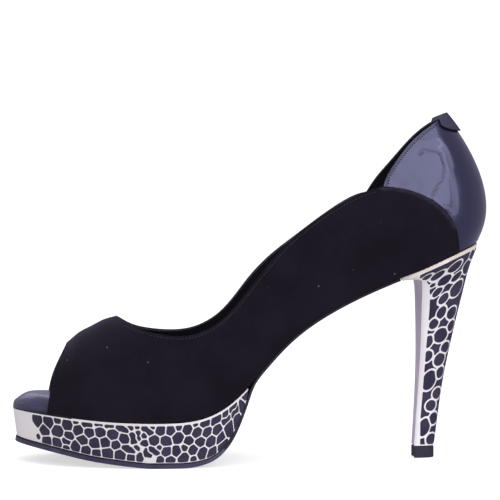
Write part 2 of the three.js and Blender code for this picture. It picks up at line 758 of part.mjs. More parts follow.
// Heel: sections up from the tip, at shares of its height. Breast, back and half width are the
// stem's, flare blends the stem into the seat's outline, and tilt follows the seat's slope
const heelRows = [
  { at: 0, breast: 0, back: 1, half: 1, flare: 0, tilt: 0 },
  { at: 0.16, breast: 0.085, back: 1.18, half: 1.06, flare: 0, tilt: 0 },
  { at: 0.32, breast: 0.165, back: 1.35, half: 1.25, flare: 0, tilt: 0 },
  { at: 0.48, breast: 0.235, back: 1.61, half: 1.66, flare: 0, tilt: 0 },
  { at: 0.63, breast: 0.25, back: 1.9, half: 2.04, flare: 0, tilt: 0 },
  { at: 0.74, breast: 0.25, back: 2.12, half: 2.32, flare: 0.01, tilt: 0.06 },
  { at: 0.82, breast: 0.25, back: 2.3, half: 2.62, flare: 0.05, tilt: 0.24 },
  { at: 0.88, breast: 0.25, back: 2.41, half: 2.92, flare: 0.16, tilt: 0.52 },
  { at: 0.93, breast: 0.25, back: 2.46, half: 3.3, flare: 0.46, tilt: 0.82 },
  { at: 0.956, breast: 0.25, back: 2.49, half: 3.5, flare: 0.78, tilt: 0.95 },
  { at: 0.98, breast: 0.15, back: 2.5, half: 3.7, flare: 0.98, tilt: 1 },
  { at: 1, breast: 0.1, back: 2.5, half: 3.7, flare: 1, tilt: 1 },
];
const tipBackX = along(heelTipBack);
const tipBreastX = tipBackX - heelTipDepth;
const roundSteps = 11;
const breastSteps = 6;
const cornerShare = 0.07;
const frontHold = 3;
const frontFade = 1.6;
function heelSection(row, low, high) {
  const breast = tipBreastX + heelTipDepth * row.breast;
  const back = tipBreastX + heelTipDepth * row.back;
  const half = (heelTipWidth / 2) * row.half;
  const ring = [];
  const add = (stemX, stemY, seat, front) => {
    const flare = row.flare ** (1 + frontHold * front);
    const x = mix(stemX, seat[0], flare);
    const y = mix(stemY, seat[1], flare);
    const level = mix(low, high, row.at);
    ring.push(new THREE.Vector3(x, y, level + row.tilt * (feather(x) - feather(heelPoleX))));
  };
  const heelMouth = along(heelFront);
  const seatAt = (side, t) => footprint(side, mix(heelMouth, lastEnd, t), heelInset);
  const stem = (side, t) => {
    const turn = (t * Math.PI) / 2;
    return [mix(breast, back, Math.sin(turn)), side * half * Math.cos(turn) ** 0.8];
  };
  const round = (side, i) => {
    const t = mix(cornerShare, 1, i / roundSteps);
    add(...stem(side, t), seatAt(side, t), 1 - smooth(t * frontFade));
  };
  for (let i = 0; i <= roundSteps; i++) round(LATERAL, i);
  for (let i = roundSteps - 1; i >= 0; i--) round(MEDIAL, i);
  for (let i = 0; i <= breastSteps; i++) {
    const t = 1 - (2 * i) / breastSteps;
    const hollow = breastHollow * (1 - t * t);
    const span = 1 - cornerShare;
    const mouth = [heelMouth + hollow, seatAt(MEDIAL, 0)[1] * t * span];
    add(breast + hollow, half * t * span, mouth, 1);
  }
  return ring;
}

// A lofted solid over heel sections, each end closed by rungs between the two sides and a breast strip
function loftShape(sectionsUp) {
  const size = sectionsUp[0].length;
  const position = sectionsUp.flat().flatMap((p) => [p.x, p.y, p.z]);
  const index = [];
  for (let i = 0; i < sectionsUp.length - 1; i++)
    for (let j = 0; j < size; j++) {
      const k = (j + 1) % size;
      const [a, b, c, d] = [i * size + j, i * size + k, (i + 1) * size + k, (i + 1) * size + j];
      index.push(a, b, c, a, c, d);
    }
  const facing = (i) => 2 * roundSteps - i;
  const cap = [];
  for (let i = 0; i < roundSteps - 1; i++) {
    cap.push([i, i + 1, facing(i + 1)]);
    cap.push([i, facing(i + 1), facing(i)]);
  }
  cap.push([roundSteps - 1, roundSteps, roundSteps + 1]);
  for (let k = 2 * roundSteps; k < size - 1; k++) cap.push([0, k, k + 1]);
  const top = (sectionsUp.length - 1) * size;
  for (const [a, b, c] of cap) {
    index.push(top + a, top + b, top + c);
    index.push(c, b, a);
  }
  const geometry = new THREE.BufferGeometry();
  geometry.setAttribute("position", new THREE.Float32BufferAttribute(position, 3));
  geometry.setIndex(index);
  geometry.computeVertexNormals();
  return geometry;
}
function heelShape() {
  const low = topPieceHeight + clearance;
  const high = feather(heelPoleX) - clearance;
  return loftShape(heelRows.map((row) => heelSection(row, low, high)));
}

// The top piece: the worn part under the heel's tip, flat on the floor
function topPieceShape() {
  const levels = [
    { up: 0, out: -topPieceEdge },
    { up: topPieceEdge, out: 0 },
    { up: topPieceHeight - topPieceEdge, out: 0 },
    { up: topPieceHeight, out: -topPieceEdge },
  ];
  const centre = (tipBackX + tipBreastX) / 2;
  const sectionsUp = levels.map(({ up, out }) =>
    heelSection(heelRows[0], 0, 0).map((p) => {
      const away = new THREE.Vector3(p.x - centre, p.y, 0);
      away.setLength(away.length() + out);
      return new THREE.Vector3(centre + away.x, away.y, up);
    }),
  );
  return loftShape(sectionsUp);
}

// Materials
const paint = (color, roughness, metalness = 0) =>
  new THREE.MeshStandardMaterial({ color, roughness, metalness });
const suede = paint("#1d1a24", 0.95);
const patent = paint("#23212f", 0.12);
const nappa = paint("#22202b", 0.4);
const champagneFoil = paint("#d9d3d6", 0.3, 0.85);
const soleLeather = paint("#2b2836", 0.5);
const heelTipRubber = paint("#262330", 0.6);

// The shoe
const shoe = new THREE.Group();
function place(name, geometry, material) {
  const mesh = new THREE.Mesh(geometry, material);
  mesh.name = name;
  shoe.add(mesh);
}
place("upper", upperShape(), suede);
place("patent_counter", counterShape(), patent);
place("back_tab", tabShape(), suede);
place("insole", insoleShape(), nappa);
place("platform", platformShape(), champagneFoil);
place("outsole", outsoleShape(), soleLeather);
place("heel", heelShape(), champagneFoil);
place("top_piece", topPieceShape(), heelTipRubber);

export default shoe;
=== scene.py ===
# %% [markdown]
# An open-toe platform court shoe, dressed for its portrait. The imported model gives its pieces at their
# real size and place. Each cell below says what a piece or a finish is on the real shoe and how it
# could be made, and makes it. MM turns millimetres into Blender's metres.

# %% Load the frame
import math
from contextlib import contextmanager

import bmesh
import bpy
import numpy as np
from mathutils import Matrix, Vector
from mathutils.kdtree import KDTree


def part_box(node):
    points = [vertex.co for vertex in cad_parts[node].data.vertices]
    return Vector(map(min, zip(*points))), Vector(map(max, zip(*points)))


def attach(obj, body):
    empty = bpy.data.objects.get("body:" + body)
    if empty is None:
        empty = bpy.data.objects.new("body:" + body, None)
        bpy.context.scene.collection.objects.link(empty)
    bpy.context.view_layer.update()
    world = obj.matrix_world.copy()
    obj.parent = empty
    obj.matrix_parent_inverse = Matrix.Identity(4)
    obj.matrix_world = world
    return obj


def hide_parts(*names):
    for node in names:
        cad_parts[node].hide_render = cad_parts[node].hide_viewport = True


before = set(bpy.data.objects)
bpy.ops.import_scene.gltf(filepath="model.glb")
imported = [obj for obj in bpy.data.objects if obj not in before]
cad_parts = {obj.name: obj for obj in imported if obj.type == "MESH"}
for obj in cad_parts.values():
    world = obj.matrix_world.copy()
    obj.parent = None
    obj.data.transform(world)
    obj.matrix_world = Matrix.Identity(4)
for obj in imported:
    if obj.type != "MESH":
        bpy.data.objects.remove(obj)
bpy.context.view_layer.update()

MM = 0.001
print("nodes:", sorted(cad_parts))

# %% [markdown]
# The camera stands where the photographer stood: a little towards the toe, at ankle height, far away
# with a long lens. It could be fitted by eye. Here four measures read off the photograph place it: the
# turn, the distance, the height and the width of a pixel.

# %% Camera
PICTURE_SIZE = 500
PIXEL = 0.469 * MM
camera_turn = math.radians(-4)
camera_distance = 1200 * MM
camera_height = 147 * MM
look_at = Vector((35 * MM, 0, 98 * MM))


def placed(name, data):
    """An object in the scene for this camera, light, mesh or curve."""
    made = bpy.data.objects.new(name, data)
    bpy.context.scene.collection.objects.link(made)
    return made


camera_data = bpy.data.cameras.new("camera")
camera = placed("camera", camera_data)
bpy.context.scene.camera = camera
rise = math.asin((camera_height - look_at.z) / camera_distance)
away = Vector((
    math.sin(camera_turn) * math.cos(rise),
    -math.cos(camera_turn) * math.cos(rise),
    math.sin(rise),
))
camera.location = look_at + away * camera_distance
camera.rotation_euler = (-away).to_track_quat("-Z", "Y").to_euler()
camera_data.lens = camera_data.sensor_width * camera_distance / (PICTURE_SIZE * PIXEL)
camera_data.clip_start = 0.05
camera_data.clip_end = 60
print("lens, mm:", round(camera_data.lens, 1))

# %% [markdown]
# Such shoes are photographed on white card that curves up behind them. One big plane under a white sky
# does the same at this low angle: both are equally bright, so no horizon shows, and only a soft shadow
# under the sole stays, which the card's own faint glow thins. Lacquer mirrors a studio's dim floor
# rather than its card, so mirrored rays pass the card by.

# %% A helper for selecting, and the white card
def only(piece):
    """Select this object alone, because operators act on all that is selected."""
    bpy.ops.object.select_all(action="DESELECT")
    piece.select_set(True)
    bpy.context.view_layer.objects.active = piece


only(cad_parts["upper"])
bpy.ops.mesh.primitive_plane_add(size=30, location=(0, 0, 0))
card = bpy.context.object
card.name = "card"
card.visible_glossy = False
print("card:", card.dimensions.x, "m wide")

# %% [markdown]
# Black suede and patent leather show their shape by what they mirror. Two soft boxes side by side
# behind the camera give the patent its broad lavender sheen. One above lights the tops, one behind the
# shoe glances off the insole, and one on the toe's side draws the vamp's edge. The card needs a white
# sky, but a studio's far walls are dim, so mirrored rays meet a dim room instead.

# %% Studio light
SHOE_MIDDLE = Vector((0.035, 0, 0.09))
LAVENDER = (0.85, 0.86, 1)
SKY_STRENGTH = 1.17
ROOM_COLOUR = (0.3, 0.3, 0.4, 1)


def soft_box(name, place, width, height, watts, tint=(1, 1, 1)):
    """A rectangular light, in metres and watts, that is turned to the shoe."""
    data = bpy.data.lights.new(name, "AREA")
    data.shape = "RECTANGLE"
    data.size, data.size_y = width, height
    data.energy = watts
    data.color = tint
    lamp = placed(name, data)
    lamp.location = place
    lamp.rotation_euler = (SHOE_MIDDLE - Vector(place)).to_track_quat("-Z", "Y").to_euler()


soft_box("box_above", (0.1, -0.5, 1.4), 1.2, 0.7, 6, LAVENDER)
soft_box("box_behind_camera", (0.4, -1.2, 0.75), 1, 1.4, 12.5, LAVENDER)
soft_box("box_heel_side", (0.99, -0.88, 0.75), 0.36, 1.4, 3.6, LAVENDER)
soft_box("box_behind_shoe", (-0.1, 1.2, 0.75), 1, 0.5, 1.5, (0.8, 0.78, 1))
soft_box("box_toe_side", (-1.2, -0.5, 0.6), 0.5, 0.9, 2.2)
sky = bpy.data.worlds.new("sky")
bpy.context.scene.world = sky
sky.use_nodes = True
nodes, links = sky.node_tree.nodes, sky.node_tree.links
white = nodes["Background"]
white.inputs["Color"].default_value = (1, 1, 1, 1)
white.inputs["Strength"].default_value = SKY_STRENGTH
room = nodes.new("ShaderNodeBackground")
room.inputs["Color"].default_value = ROOM_COLOUR
mirrored = nodes.new("ShaderNodeMixShader")
ray = nodes.new("ShaderNodeLightPath")
links.new(ray.outputs["Is Glossy Ray"], mirrored.inputs[0])
links.new(white.outputs[0], mirrored.inputs[1])
links.new(room.outputs[0], mirrored.inputs[2])
links.new(mirrored.outputs[0], nodes["World Output"].inputs[0])
bpy.context.scene.view_settings.view_transform = "Standard"

# %% [markdown]
# Every finish is a small recipe of nodes. Laid one by one, they hide what the recipe does. The class
# below holds one wire of a recipe, and Python's own signs lay the maths nodes: nap * 0.5 + 0.2 reads
# as it works.

# %% One wire of a recipe
class Wire:
    def __init__(self, tree, socket):
        self.tree = tree
        self.socket = socket

    def plug(self, socket, value):
        if isinstance(value, Wire):
            self.tree.links.new(value.socket, socket)
        else:
            socket.default_value = value

    def node(self, kind, settings=(), inputs=(), output=0):
        """Lay a node of this type, set it, plug its inputs and give one output."""
        made = self.tree.nodes.new("ShaderNode" + kind)
        for name, value in dict(settings).items():
            setattr(made, name, value)
        for name, value in dict(inputs).items():
            self.plug(made.inputs[name], value)
        return Wire(self.tree, made.outputs[output])

    def maths(self, operation, *values):
        return self.node("Math", {"operation": operation}, enumerate(values))

    def __add__(self, other):
        return self.maths("ADD", self, other)

    def __mul__(self, other):
        return self.maths("MULTIPLY", self, other)

    __radd__ = __add__

    def __rsub__(self, other):
        return self.maths("SUBTRACT", other, self)

    def ramp(self, low, high):
        """0 below low, 1 above high and a soft step between them."""
        settings = {"interpolation_type": "SMOOTHSTEP"}
        return self.node("MapRange", settings, {0: self, 1: low, 2: high})

    def mixed(self, dark, light):
        """A colour between two, by this wire's value."""
        inputs = {0: self, 6: colour_of(dark), 7: colour_of(light)}
        return self.node("Mix", {"data_type": "RGBA"}, inputs, output=2)


def colour_of(value):
    """A wire as it is, or a colour with the alpha that its socket wants."""
    return value if isinstance(value, Wire) else (*value, 1)

print("recipe signs ready")

# %% A finish
class Finish:
    """A material with its shader, and a wire that holds the place on the piece in metres."""

    def __init__(self, name, **fixed):
        self.material = bpy.data.materials.new(name)
        self.material.use_nodes = True
        tree = self.material.node_tree
        self.shader = tree.nodes["Principled BSDF"]
        for socket, value in fixed.items():
            self.shader.inputs[socket.replace("_", " ")].default_value = value
        self.place = Wire(tree, tree.nodes.new("ShaderNodeTexCoord").outputs["Object"])

    def noise(self, size, detail=2, rough=0.5, stretch=None):
        """Cloudy values from 0 to 1, with clouds about this large in metres."""
        place = self.place
        if stretch:
            place = place.node("Mapping", (), {"Vector": place, "Scale": stretch})
        inputs = {"Vector": place, "Scale": 1 / size, "Detail": detail, "Roughness": rough}
        return place.node("TexNoise", (), inputs)

    def cells(self, size, feature="F1"):
        """Distance to the nearest of many scattered points, about this far apart in metres."""
        inputs = {"Vector": self.place, "Scale": 1 / size}
        return self.place.node("TexVoronoi", {"feature": feature}, inputs)

    def own(self, attribute):
        """A value that the piece itself carries at each of its points."""
        return self.place.node("Attribute", {"attribute_name": attribute}, output=2)

    def colour(self, value):
        self.place.plug(self.shader.inputs["Base Color"], colour_of(value))

    def roughness(self, value):
        self.place.plug(self.shader.inputs["Roughness"], value)

    def bump(self, height, depth):
        """Raise and sink the surface by a height wire, whose full swing is depth metres."""
        inputs = {"Height": height, "Distance": depth, "Strength": 1}
        self.place.plug(self.shader.inputs["Normal"], self.place.node("Bump", (), inputs))


print("recipe helpers ready")

# %% [markdown]
# Suede is the flesh side of leather, brushed to a nap. It never shines: its fibres look darker where
# they lie down and paler where they stand, and catch a soft rim of light at edges, which sheen gives.
# Large clouds make the brushed patches, fine ones the fibres, and a few specks of lint sit on it.

# %% Suede
SPECKS_APART = 9.5 * MM
SPECK = 0.5 * MM
SPECK_CORE = 0.3 * MM
suede = Finish(
    "brushed_suede", Sheen_Weight=0.07, Sheen_Roughness=0.4, Sheen_Tint=(0.75, 0.7, 0.95, 1),
    Specular_IOR_Level=0.06,
)
brushed = suede.noise(22 * MM, detail=3, rough=0.6).ramp(0.3, 0.7)
nap = suede.noise(1.3 * MM, detail=4, rough=0.7)
fibre = suede.noise(0.28 * MM, detail=2, rough=0.7, stretch=(1, 1, 2.2))
shade = brushed * 0.45 + nap * 0.55
base = shade.mixed((0.003, 0.0022, 0.0042), (0.0082, 0.0062, 0.0112))
# Along the folded edges the colour is painted paler: partly wear of the nap at the fold, partly a painted
# highlight along it.
worn_and_painted_highlight = suede.own("rim").ramp(0.1, 1) * nap.ramp(0.3, 0.62)
base = (worn_and_painted_highlight * 0.6).mixed(base, (0.034, 0.029, 0.046))
speck = suede.cells(SPECKS_APART).ramp(SPECK / SPECKS_APART, SPECK_CORE / SPECKS_APART)
suede.colour((speck * 0.5).mixed(base, (0.11, 0.105, 0.12)))
suede.roughness(0.85 + nap * 0.15)
suede.bump(nap * 0.6 + fibre * 0.4, 0.16 * MM)
print("suede:", len(suede.material.node_tree.nodes), "nodes")

# %% [markdown]
# Patent leather is leather under a thick clear lacquer. The leather is a deep blue-black. Specular
# Tint gives the gloss the lavender stain of the lacquer, and a thin clear coat lies on top. The
# lacquer sags a little as it dries, and those long low waves bend the mirrored light boxes. Where it
# has crinkled its gloss is broken, and the piece itself carries where that is.

# %% Patent leather
patent = Finish(
    "patent_lacquer", Coat_Weight=0.4, Coat_Roughness=0.03, Coat_IOR=1.6,
    Specular_IOR_Level=0.8, Specular_Tint=(0.62, 0.62, 1, 1),
)
patent.colour(patent.noise(30 * MM, detail=2).mixed((0.007, 0.006, 0.016), (0.012, 0.01, 0.024)))
patent.roughness(0.22 + patent.noise(8 * MM, detail=2) * 0.08 + patent.own("crinkle") * 0.78)
sag = patent.noise(15 * MM, detail=1)
pebble = patent.noise(0.9 * MM, detail=2)
patent.bump(sag * 0.99 + pebble * 0.01, 0.8 * MM)
print("patent:", len(patent.material.node_tree.nodes), "nodes")

# %% [markdown]
# The other leathers are smooth-grained. Grain leather is a field of small pebbles with fine valleys
# between them, so scattered cells give the valleys, and a little noise breaks their evenness. The
# lining is matt, the insole's cover is glazed, and the edge of the sole is inked and waxed.

# %% Smooth leathers
def leather_finish(name, dark, light, gloss, pebble, depth, **fixed):
    """Grained leather between two colours, with its pebbles' size and depth in millimetres."""
    leather = Finish(name, **fixed)
    pebble_size = pebble * MM
    grain = leather.cells(pebble_size, "DISTANCE_TO_EDGE").ramp(0, 0.22)
    cloud = leather.noise(9 * MM, detail=4)
    leather.colour((cloud.ramp(0.3, 0.7) * 0.7 + grain * 0.3).mixed(dark, light))
    leather.roughness(gloss + (1 - grain) * 0.16 + cloud * 0.12)
    leather.bump(grain * 0.7 + leather.noise(pebble_size * 0.5, detail=3) * 0.3, depth * MM)
    return leather.material


lining = leather_finish(
    "lining", (0.0016, 0.0014, 0.0025), (0.0035, 0.003, 0.005), 0.5, 0.8, 0.05,
    Specular_IOR_Level=0.3,
)
insole_leather = leather_finish(
    "glazed_insole", (0.014, 0.0125, 0.03), (0.026, 0.023, 0.05), 0.22, 0.7, 0.02,
    Coat_Weight=0.7, Coat_Roughness=0.2, Specular_Tint=(0.72, 0.7, 1, 1),
)
sole_leather = leather_finish(
    "waxed_sole", (0.015, 0.0138, 0.027), (0.03, 0.0275, 0.047), 0.3, 1.1, 0.04,
    Coat_Weight=0.3, Coat_Roughness=0.25, Specular_Tint=(0.72, 0.7, 1, 1),
)
# Near-black: ink on the waist and on the toe's cord, and painted shade along the outsole's joint.
ink_and_joint_shade = leather_finish(
    "ink_and_joint_shade", (0.002, 0.0016, 0.003), (0.005, 0.004, 0.007), 0.5, 1.1, 0.03,
)
tip_rubber = leather_finish(
    "tip", (0.007, 0.0055, 0.011), (0.013, 0.011, 0.021), 0.5, 0.6, 0.02,
)
tab_leather = leather_finish(
    "tab_leather", (0.016, 0.013, 0.028), (0.03, 0.025, 0.05), 0.6, 0.5, 0.06,
    Specular_IOR_Level=0.3,
)
print("leathers:", lining.name, insole_leather.name, sole_leather.name)

# %% [markdown]
# Platform and heel are wrapped in foiled leather: a thin champagne-silver film pressed on the grain.
# It is metal to the light, yet softer than sheet metal, because the grain blurs what it mirrors.
# Pressing leaves faint creases, and handling leaves warmer, duller patches.

# %% Foil
def foil_finish(name, cool, warm, metal, gloss, edge=None):
    """Foiled leather between two silvers, with a third on the rim."""
    foil = Finish(name, Metallic=metal)
    handled = foil.noise(16 * MM, detail=3).ramp(0.35, 0.7)
    silver = handled.mixed(cool, warm)
    if edge:
        silver = foil.own("rim").mixed(silver, edge)
    foil.colour(silver)
    grain = foil.cells(0.55 * MM, "DISTANCE_TO_EDGE").ramp(0, 0.25)
    pressed = foil.noise(2.4 * MM, detail=3)
    foil.roughness(gloss + handled * 0.08 + (1 - grain) * 0.08)
    foil.bump(grain * 0.5 + pressed * 0.5, 0.035 * MM)
    return foil.material


foil = foil_finish("champagne_foil", (0.84, 0.8, 0.77), (0.83, 0.77, 0.71), 0.6, 0.32)
heel_foil = foil_finish(
    "heel_foil", (0.9, 0.85, 0.82), (0.88, 0.81, 0.77), 0.6, 0.32, edge=(0.8, 0.7, 0.58),
)
# The breast is the same foil painted darker and lavender: painted shade on the heel's front face, which
# turns away from the light.
shaded_breast_foil = foil_finish("shaded_breast_foil", (0.58, 0.49, 0.57), (0.7, 0.62, 0.68), 0.5, 0.34)
cell_print = leather_finish(
    "cell_print", (0.013, 0.0105, 0.022), (0.029, 0.0235, 0.044), 0.42, 0.45, 0.04,
    Specular_IOR_Level=0.35, Specular_Tint=(0.8, 0.72, 1, 1),
)
thread = leather_finish(
    "thread", (0.002, 0.0018, 0.003), (0.005, 0.004, 0.008), 0.75, 0.3, 0.05,
    Specular_IOR_Level=0.1,
)
pale_thread = leather_finish(
    "suede_thread", (0.014, 0.012, 0.02), (0.03, 0.026, 0.04), 0.6, 0.3, 0.05,
)
card_white = Finish(
    "card_white", Roughness=0.9, Emission_Strength=0.6, Emission_Color=(1, 1, 1, 1),
)
paper = card_white.noise(3 * MM, detail=4)
card_white.colour(paper.mixed((0.43, 0.43, 0.43), (0.46, 0.46, 0.46)))
card.data.materials.append(card_white.material)
print("foils:", foil.name, shaded_breast_foil.name)

# %% [markdown]
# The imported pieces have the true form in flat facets. A smooth piece needs a finer mesh on the same
# form: copy the node, merge its loose triangles into four-sided faces, round each sharp edge with a
# narrow bevel, and let Subdivision Surface flow between the bevels. The bevel holds the edge, so a
# folded leather edge gets a wide one and a cut edge a narrow one.

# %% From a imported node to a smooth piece
@contextmanager
def editing(piece, elements="FACE"):
    """Edit mode on one piece, and back to object mode at the end."""
    only(piece)
    bpy.ops.object.mode_set(mode="EDIT")
    bpy.ops.mesh.select_mode(type=elements)
    bpy.ops.mesh.select_all(action="DESELECT")
    yield bmesh.from_edit_mesh(piece.data)
    bpy.ops.object.mode_set(mode="OBJECT")


def apply_modifier(piece, kind, **settings):
    """Add a modifier of this type with these settings, and apply it."""
    only(piece)
    bpy.ops.object.modifier_add(type=kind)
    modifier = piece.modifiers[-1]
    for name, value in settings.items():
        setattr(modifier, name, value)
    bpy.ops.object.modifier_apply(modifier=modifier.name)


SHARP = math.radians(38)


def merged_copy(node, name):
    """The node's form in four-sided faces, as an object of its own."""
    piece = placed(name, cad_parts[node].data.copy())
    piece.data.materials.clear()
    with editing(piece):
        bpy.ops.mesh.select_all(action="SELECT")
        bpy.ops.mesh.customdata_custom_splitnormals_clear()
        bpy.ops.mesh.remove_doubles(threshold=0.01 * MM)
        bpy.ops.mesh.tris_convert_to_quads(face_threshold=SHARP, shape_threshold=math.pi)
    return piece


def smoothed(piece, edge_round, levels=2):
    """Bevel the sharp edges and subdivide: the form stays and the facets go."""
    with editing(piece, "EDGE"):
        bpy.ops.mesh.edges_select_sharp(sharpness=SHARP)
        bpy.ops.mesh.bevel(offset=edge_round, segments=2, affect="EDGES", clamp_overlap=True)
    apply_modifier(piece, "SUBSURF", levels=levels, render_levels=levels)
    bpy.ops.object.shade_smooth()


def small_piece(piece, material):
    """A piece that replaces no node: it is painted and rides on the shoe."""
    painted(piece, material)
    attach(piece, "root")


def stands_for(piece, node):
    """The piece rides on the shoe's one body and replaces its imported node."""
    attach(piece, "root")
    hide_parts(node)
    print(f"{piece.name}: {len(piece.data.polygons)} faces")


def seen_on(piece, across, down):
    """Where this pixel of the photograph lies on the piece."""
    half = PICTURE_SIZE / 2
    way = Vector(((across - half) * PIXEL, (half - down) * PIXEL, -camera_distance))
    way.rotate(camera.rotation_euler)
    hit, place, _, _ = piece.ray_cast(camera.location, way.normalized())
    return place.copy() if hit else None


def nearest_of(points):
    """Tells how far a place is from the nearest of these points."""
    tree = KDTree(len(points))
    for index, point in enumerate(points):
        tree.insert(point, index)
    tree.balance()
    return lambda place: tree.find(place)[2]


def carried(piece, attribute, points, reach):
    """Give each vertex 1 at the nearest of these points, fading to 0 at this reach."""
    far = nearest_of(points)
    values = [max(0, 1 - far(v.co) / reach) for v in piece.data.vertices]
    piece.data.attributes.new(attribute, "FLOAT", "POINT").data.foreach_set("value", values)


def painted(piece, *materials):
    """Give the piece these materials."""
    for each in materials:
        piece.data.materials.append(each)


print("mesh helpers ready")

# %% [markdown]
# The upper is one hollow wall: suede outside, lining inside, and the suede folded over along the topline
# and the toe's edge. The faces of that fold alone have a sharp edge on two sides. Whether another face
# looks outwards shows from a line down the middle of the foot. At the toe the edge is eased. The piece
# carries the fold's line, because there the nap is painted paler: partly wear of the fold, partly a
# painted highlight along it.

# %% Upper
HEEL_POLE = 118 * MM
ABOVE_INSOLE = 9 * MM
BELOW_INSOLE = 4 * MM
TOE_EDGE = -40 * MM
FOLD_WIDTH = 2.6 * MM
insole_points = np.array([tuple(v.co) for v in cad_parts["insole"].data.vertices])
insole_reach = np.linspace(insole_points[:, 0].min(), insole_points[:, 0].max(), 40)
insole_level = [
    insole_points[np.abs(insole_points[:, 0] - x) < 5 * MM][:, 2].max() for x in insole_reach
]
counter_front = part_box("patent_counter")[0].x


def foot_line(x):
    """The point of the foot's middle line at this x, a little above the insole."""
    return Vector((min(x, HEEL_POLE), 0, np.interp(x, insole_reach, insole_level) + ABOVE_INSOLE))


upper = merged_copy("upper", "suede_upper")
painted(upper, suede.material, lining)
with editing(upper) as mesh:
    for face in mesh.faces:
        centre = face.calc_center_median()
        folds = sum(len(e.link_faces) == 2 and e.calc_face_angle() > SHARP for e in face.edges)
        inner = face.normal.dot(centre - foot_line(centre.x)) < 0
        behind_counter = centre.x > counter_front and face.normal.z > 0.5
        face.material_index = 1 if (inner and folds < 2) or behind_counter else 0
    bmesh.update_edit_mesh(upper.data)
smoothed(upper, 0.4 * MM)
toe_edge = upper.vertex_groups.new(name="toe_edge")
toe_edge.add([v.index for v in upper.data.vertices if v.co.x < TOE_EDGE], 1, "REPLACE")
apply_modifier(upper, "SMOOTH", factor=0.5, iterations=16, vertex_group="toe_edge")
kinds = {}
for face in upper.data.polygons:
    for key in face.edge_keys:
        kinds.setdefault(key, set()).add(face.material_index)
on_fold = {index for key, kind in kinds.items() if len(kind) == 2 for index in key}
fold_line = [upper.data.vertices[i].co for i in on_fold]
fold_line = [co for co in fold_line if co.z > foot_line(co.x).z - BELOW_INSOLE]
# The fold's line, along which the suede is painted paler: wear and a painted highlight.
carried(upper, "rim", fold_line, FOLD_WIDTH)
print("points along the folded edges:", len(fold_line))
stands_for(upper, "upper")

# %% [markdown]
# Counter, tab, insole, platform wrap, outsole, heel and top piece follow the same way, each with the
# edge that its material takes. The insole's padded cover is pulled down over the toe, so its thickness
# is eased there by the distance from the edge. The outsole is waxed up to the waist and inked black
# behind it.

# %% The other pieces
WAIST = 22 * MM
TOE_ROLL = 9 * MM
TOE_ROLL_END = -42 * MM
TOE_ROLL_BLEND = 14 * MM
TIP_THICKNESS = 0.4
TOE_PADDING = 1 * MM
counter = merged_copy("patent_counter", "patent_counter_shell")
painted(counter, patent.material)
smoothed(counter, 0.2 * MM, levels=3)
stands_for(counter, "patent_counter")

tab = merged_copy("back_tab", "suede_back_tab")
painted(tab, tab_leather)
smoothed(tab, 0.16 * MM)
stands_for(tab, "back_tab")

insole = merged_copy("insole", "insole_cover")
painted(insole, insole_leather)
smoothed(insole, 0.8 * MM)
apply_modifier(insole, "SMOOTH", factor=0.5, iterations=6)
insole_foot = np.array([tuple(v.co) for v in insole.data.vertices if v.normal.z < -0.9])
from_edge = nearest_of([(v.co.x, v.co.y, 0) for v in insole.data.vertices if abs(v.normal.z) < 0.2])
upward = [v.normal.z > -0.5 for v in insole.data.vertices]
for vertex, is_upward in zip(insole.data.vertices, upward):
    ahead = min(max((TOE_ROLL_END - vertex.co.x) / TOE_ROLL_BLEND, 0), 1)
    inside = from_edge((vertex.co.x, vertex.co.y, 0))
    rolled = math.sin(math.pi / 2 * min(inside / TOE_ROLL, 1)) ** 0.8
    low = insole_foot[np.abs(insole_foot[:, 0] - vertex.co.x).argmin(), 2]
    share = 1 - ahead * (1 - TIP_THICKNESS) * (1 - rolled)
    if is_upward:
        share += ahead * rolled * TOE_PADDING / max(vertex.co.z - low, 2 * MM)
    vertex.co.z = low + (vertex.co.z - low) * share
stands_for(insole, "insole")

platform = merged_copy("platform", "platform_wrap")
painted(platform, foil)
smoothed(platform, 0.3 * MM)
stands_for(platform, "platform")

outsole = merged_copy("outsole", "outsole_edge")
painted(outsole, sole_leather, ink_and_joint_shade)
for face in outsole.data.polygons:
    face.material_index = 1 if face.center.x > WAIST else 0
smoothed(outsole, 0.3 * MM)
stands_for(outsole, "outsole")

heel = merged_copy("heel", "heel_wrap")
painted(heel, heel_foil, shaded_breast_foil)
# Faces turned to the front take the darker foil: painted shade on the breast.
for face in heel.data.polygons:
    face.material_index = 1 if face.normal.x < -0.85 else 0
smoothed(heel, 0.4 * MM)
seat_line = [v.co for v in heel.data.vertices if v.normal.z > 0.85 and v.co.z > 85 * MM]
carried(heel, "rim", seat_line, 2.4 * MM)
stands_for(heel, "heel")

tip = merged_copy("top_piece", "heel_tip")
painted(tip, tip_rubber)
smoothed(tip, 0.2 * MM)
stands_for(tip, "top_piece")

# %% [markdown]
# On the real shoe no light falls between insole and wall: the upper's lower edge is turned in under
# the insole, the lasting margin. It is grown from the upper's own foot: its lowest inner edges are
# extruded towards the middle, and given a thickness.

# %% Lasting margin
MARGIN = 2.2 * MM
MARGIN_THICKNESS = 0.2 * MM

